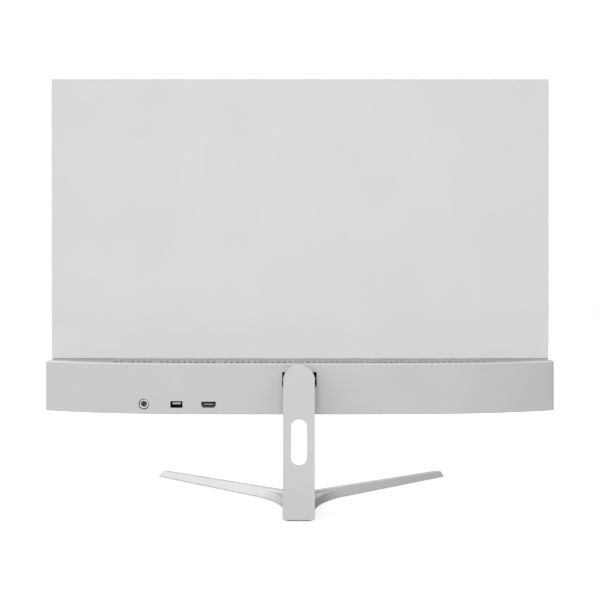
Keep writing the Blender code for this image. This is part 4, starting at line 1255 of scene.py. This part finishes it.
@dataclass
class Studio:
    """Pale floor, soft light and a level camera behind the machine."""

    camera_place: tuple[float, float, float] = (-0.0121, 0.950, 0.213)
    lens_mm: float = 52.46
    shift_x: float = -0.0188
    floor_size: float = 60.0
    surround: float = 0.52
    floor_lift: float = 0.75
    aim: tuple[float, float, float] = (0.0, 0.0, 0.2)

    def build(self) -> None:
        """Set up floor, sky, lights and camera; a lamp has its place, size and watts."""
        self._floor()
        self._sky()
        self._lamp("key", (2.8, -2.4, 4.2), 2.4, 100.0)
        self._lamp("fill", (-1.6, -1.4, 4.2), 1.6, 60.0)
        self._lamp("rear_softbox", (0.3, 8.0, 1.3), 3.4, 305.0)
        self._camera()

    def _floor(self) -> None:
        """A wide pale floor, lifted towards white where the camera sees it."""
        bpy.ops.mesh.primitive_plane_add(size=self.floor_size, location=(0, 0, 0))
        floor = bpy.context.object
        floor.name = "studio_floor"
        material, tree, shader = new_material("studio_paper")
        place = add_node(tree, "ShaderNodeTexCoord").outputs["Object"]
        cloud = add_node(tree, "ShaderNodeTexNoise", {"Scale": 2.0}, {"Vector": place})
        tint = add_node(tree, "ShaderNodeValToRGB", {}, {"Fac": cloud.outputs["Fac"]})
        ramp_colours(tint, ((0.3, "bababa"), (0.7, "bebebe")))
        tree.links.new(tint.outputs["Color"], shader.inputs["Base Color"])
        shader.inputs["Roughness"].default_value = 0.9
        shader.inputs["Specular IOR Level"].default_value = 0.1
        shader.inputs["Emission Color"].default_value = (1.0, 1.0, 1.0, 1.0)
        seen = add_node(tree, "ShaderNodeLightPath").outputs["Is Camera Ray"]
        lift = add_node(tree, "ShaderNodeMath", {"operation": "MULTIPLY", 1: self.floor_lift},
                        {0: seen})
        tree.links.new(lift.outputs[0], shader.inputs["Emission Strength"])
        floor.data.materials.append(material)

    def _sky(self) -> None:
        """A surround that is brighter in front, behind and on +X, dimmer overhead and on -X.

        Each zone has its axis, where along it the zone starts and is full, and what it adds.
        """
        scene = bpy.context.scene
        world = bpy.data.worlds.new("studio_surround")
        scene.world = world
        world.use_nodes = True
        tree = world.node_tree
        background = tree.nodes["Background"]
        way = add_node(tree, "ShaderNodeTexCoord").outputs["Generated"]
        parts = add_node(tree, "ShaderNodeSeparateXYZ", {}, {"Vector": way})
        level = None
        zones = (("Y", 0.0, 0.95, 0.42), ("Y", -0.3, -0.9, 0.25), ("X", 0.2, 0.9, 0.5),
                 ("X", -0.2, -0.9, -0.42), ("Z", 0.35, 0.95, -0.36))
        for axis, start, full, added in zones:
            zone = add_node(tree, "ShaderNodeMapRange",
                            {"From Min": start, "From Max": full, "To Min": 0.0, "To Max": added,
                             "interpolation_type": "SMOOTHSTEP"}, {"Value": parts.outputs[axis]})
            before = {1: level} if level else {}
            level = add_node(tree, "ShaderNodeMath", {"operation": "ADD", 1: self.surround},
                             {0: zone.outputs["Result"], **before}).outputs[0]
        seen = add_node(tree, "ShaderNodeLightPath").outputs["Is Camera Ray"]
        shown = add_node(tree, "ShaderNodeMath", {"operation": "MAXIMUM"}, {0: level, 1: seen})
        tree.links.new(shown.outputs[0], background.inputs["Color"])
        scene.view_settings.view_transform = "Standard"

    def _lamp(self, name: str, place: Sequence[float], size: float, power: float) -> None:
        """A square soft box that faces the machine's middle."""
        data = bpy.data.lights.new(name, "AREA")
        data.size = size
        data.energy = power
        lamp = bpy.data.objects.new(name, data)
        lamp.location = place
        way = Vector(self.aim) - Vector(place)
        lamp.rotation_euler = way.to_track_quat("-Z", "Y").to_euler()
        bpy.context.collection.objects.link(lamp)

    def _camera(self) -> None:
        """A level camera that looks at the machine's back."""
        data = bpy.data.cameras.new("camera")
        data.lens = self.lens_mm
        data.sensor_width = 36.0
        data.shift_x = self.shift_x
        data.clip_end = 50.0
        camera = bpy.data.objects.new("camera", data)
        camera.location = self.camera_place
        camera.rotation_euler = (math.radians(90), 0.0, math.radians(180))
        bpy.context.collection.objects.link(camera)
        bpy.context.scene.camera = camera


# ------------------------------------------------------------------ main

def dress_cad_nodes() -> None:
    """Give every carried-over node its finish."""
    for finish, nodes in CAD_FINISHES.items():
        for node in nodes.split():
            dress(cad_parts[node], finish)
        LOG.info("%s: %s", finish.name, nodes)


def main() -> None:
    """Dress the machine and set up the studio."""
    logging.basicConfig(level=logging.INFO, format="%(name)s: %(message)s")
    dress_cad_nodes()
    Studio().build()
    for maker in (Display(), RearHousing(), Connectors(), Stand(), PowerButton()):
        LOG.info("building %s", type(maker).__name__)
        maker.build()
    build_screws()


if __name__ == "__main__":
    main()
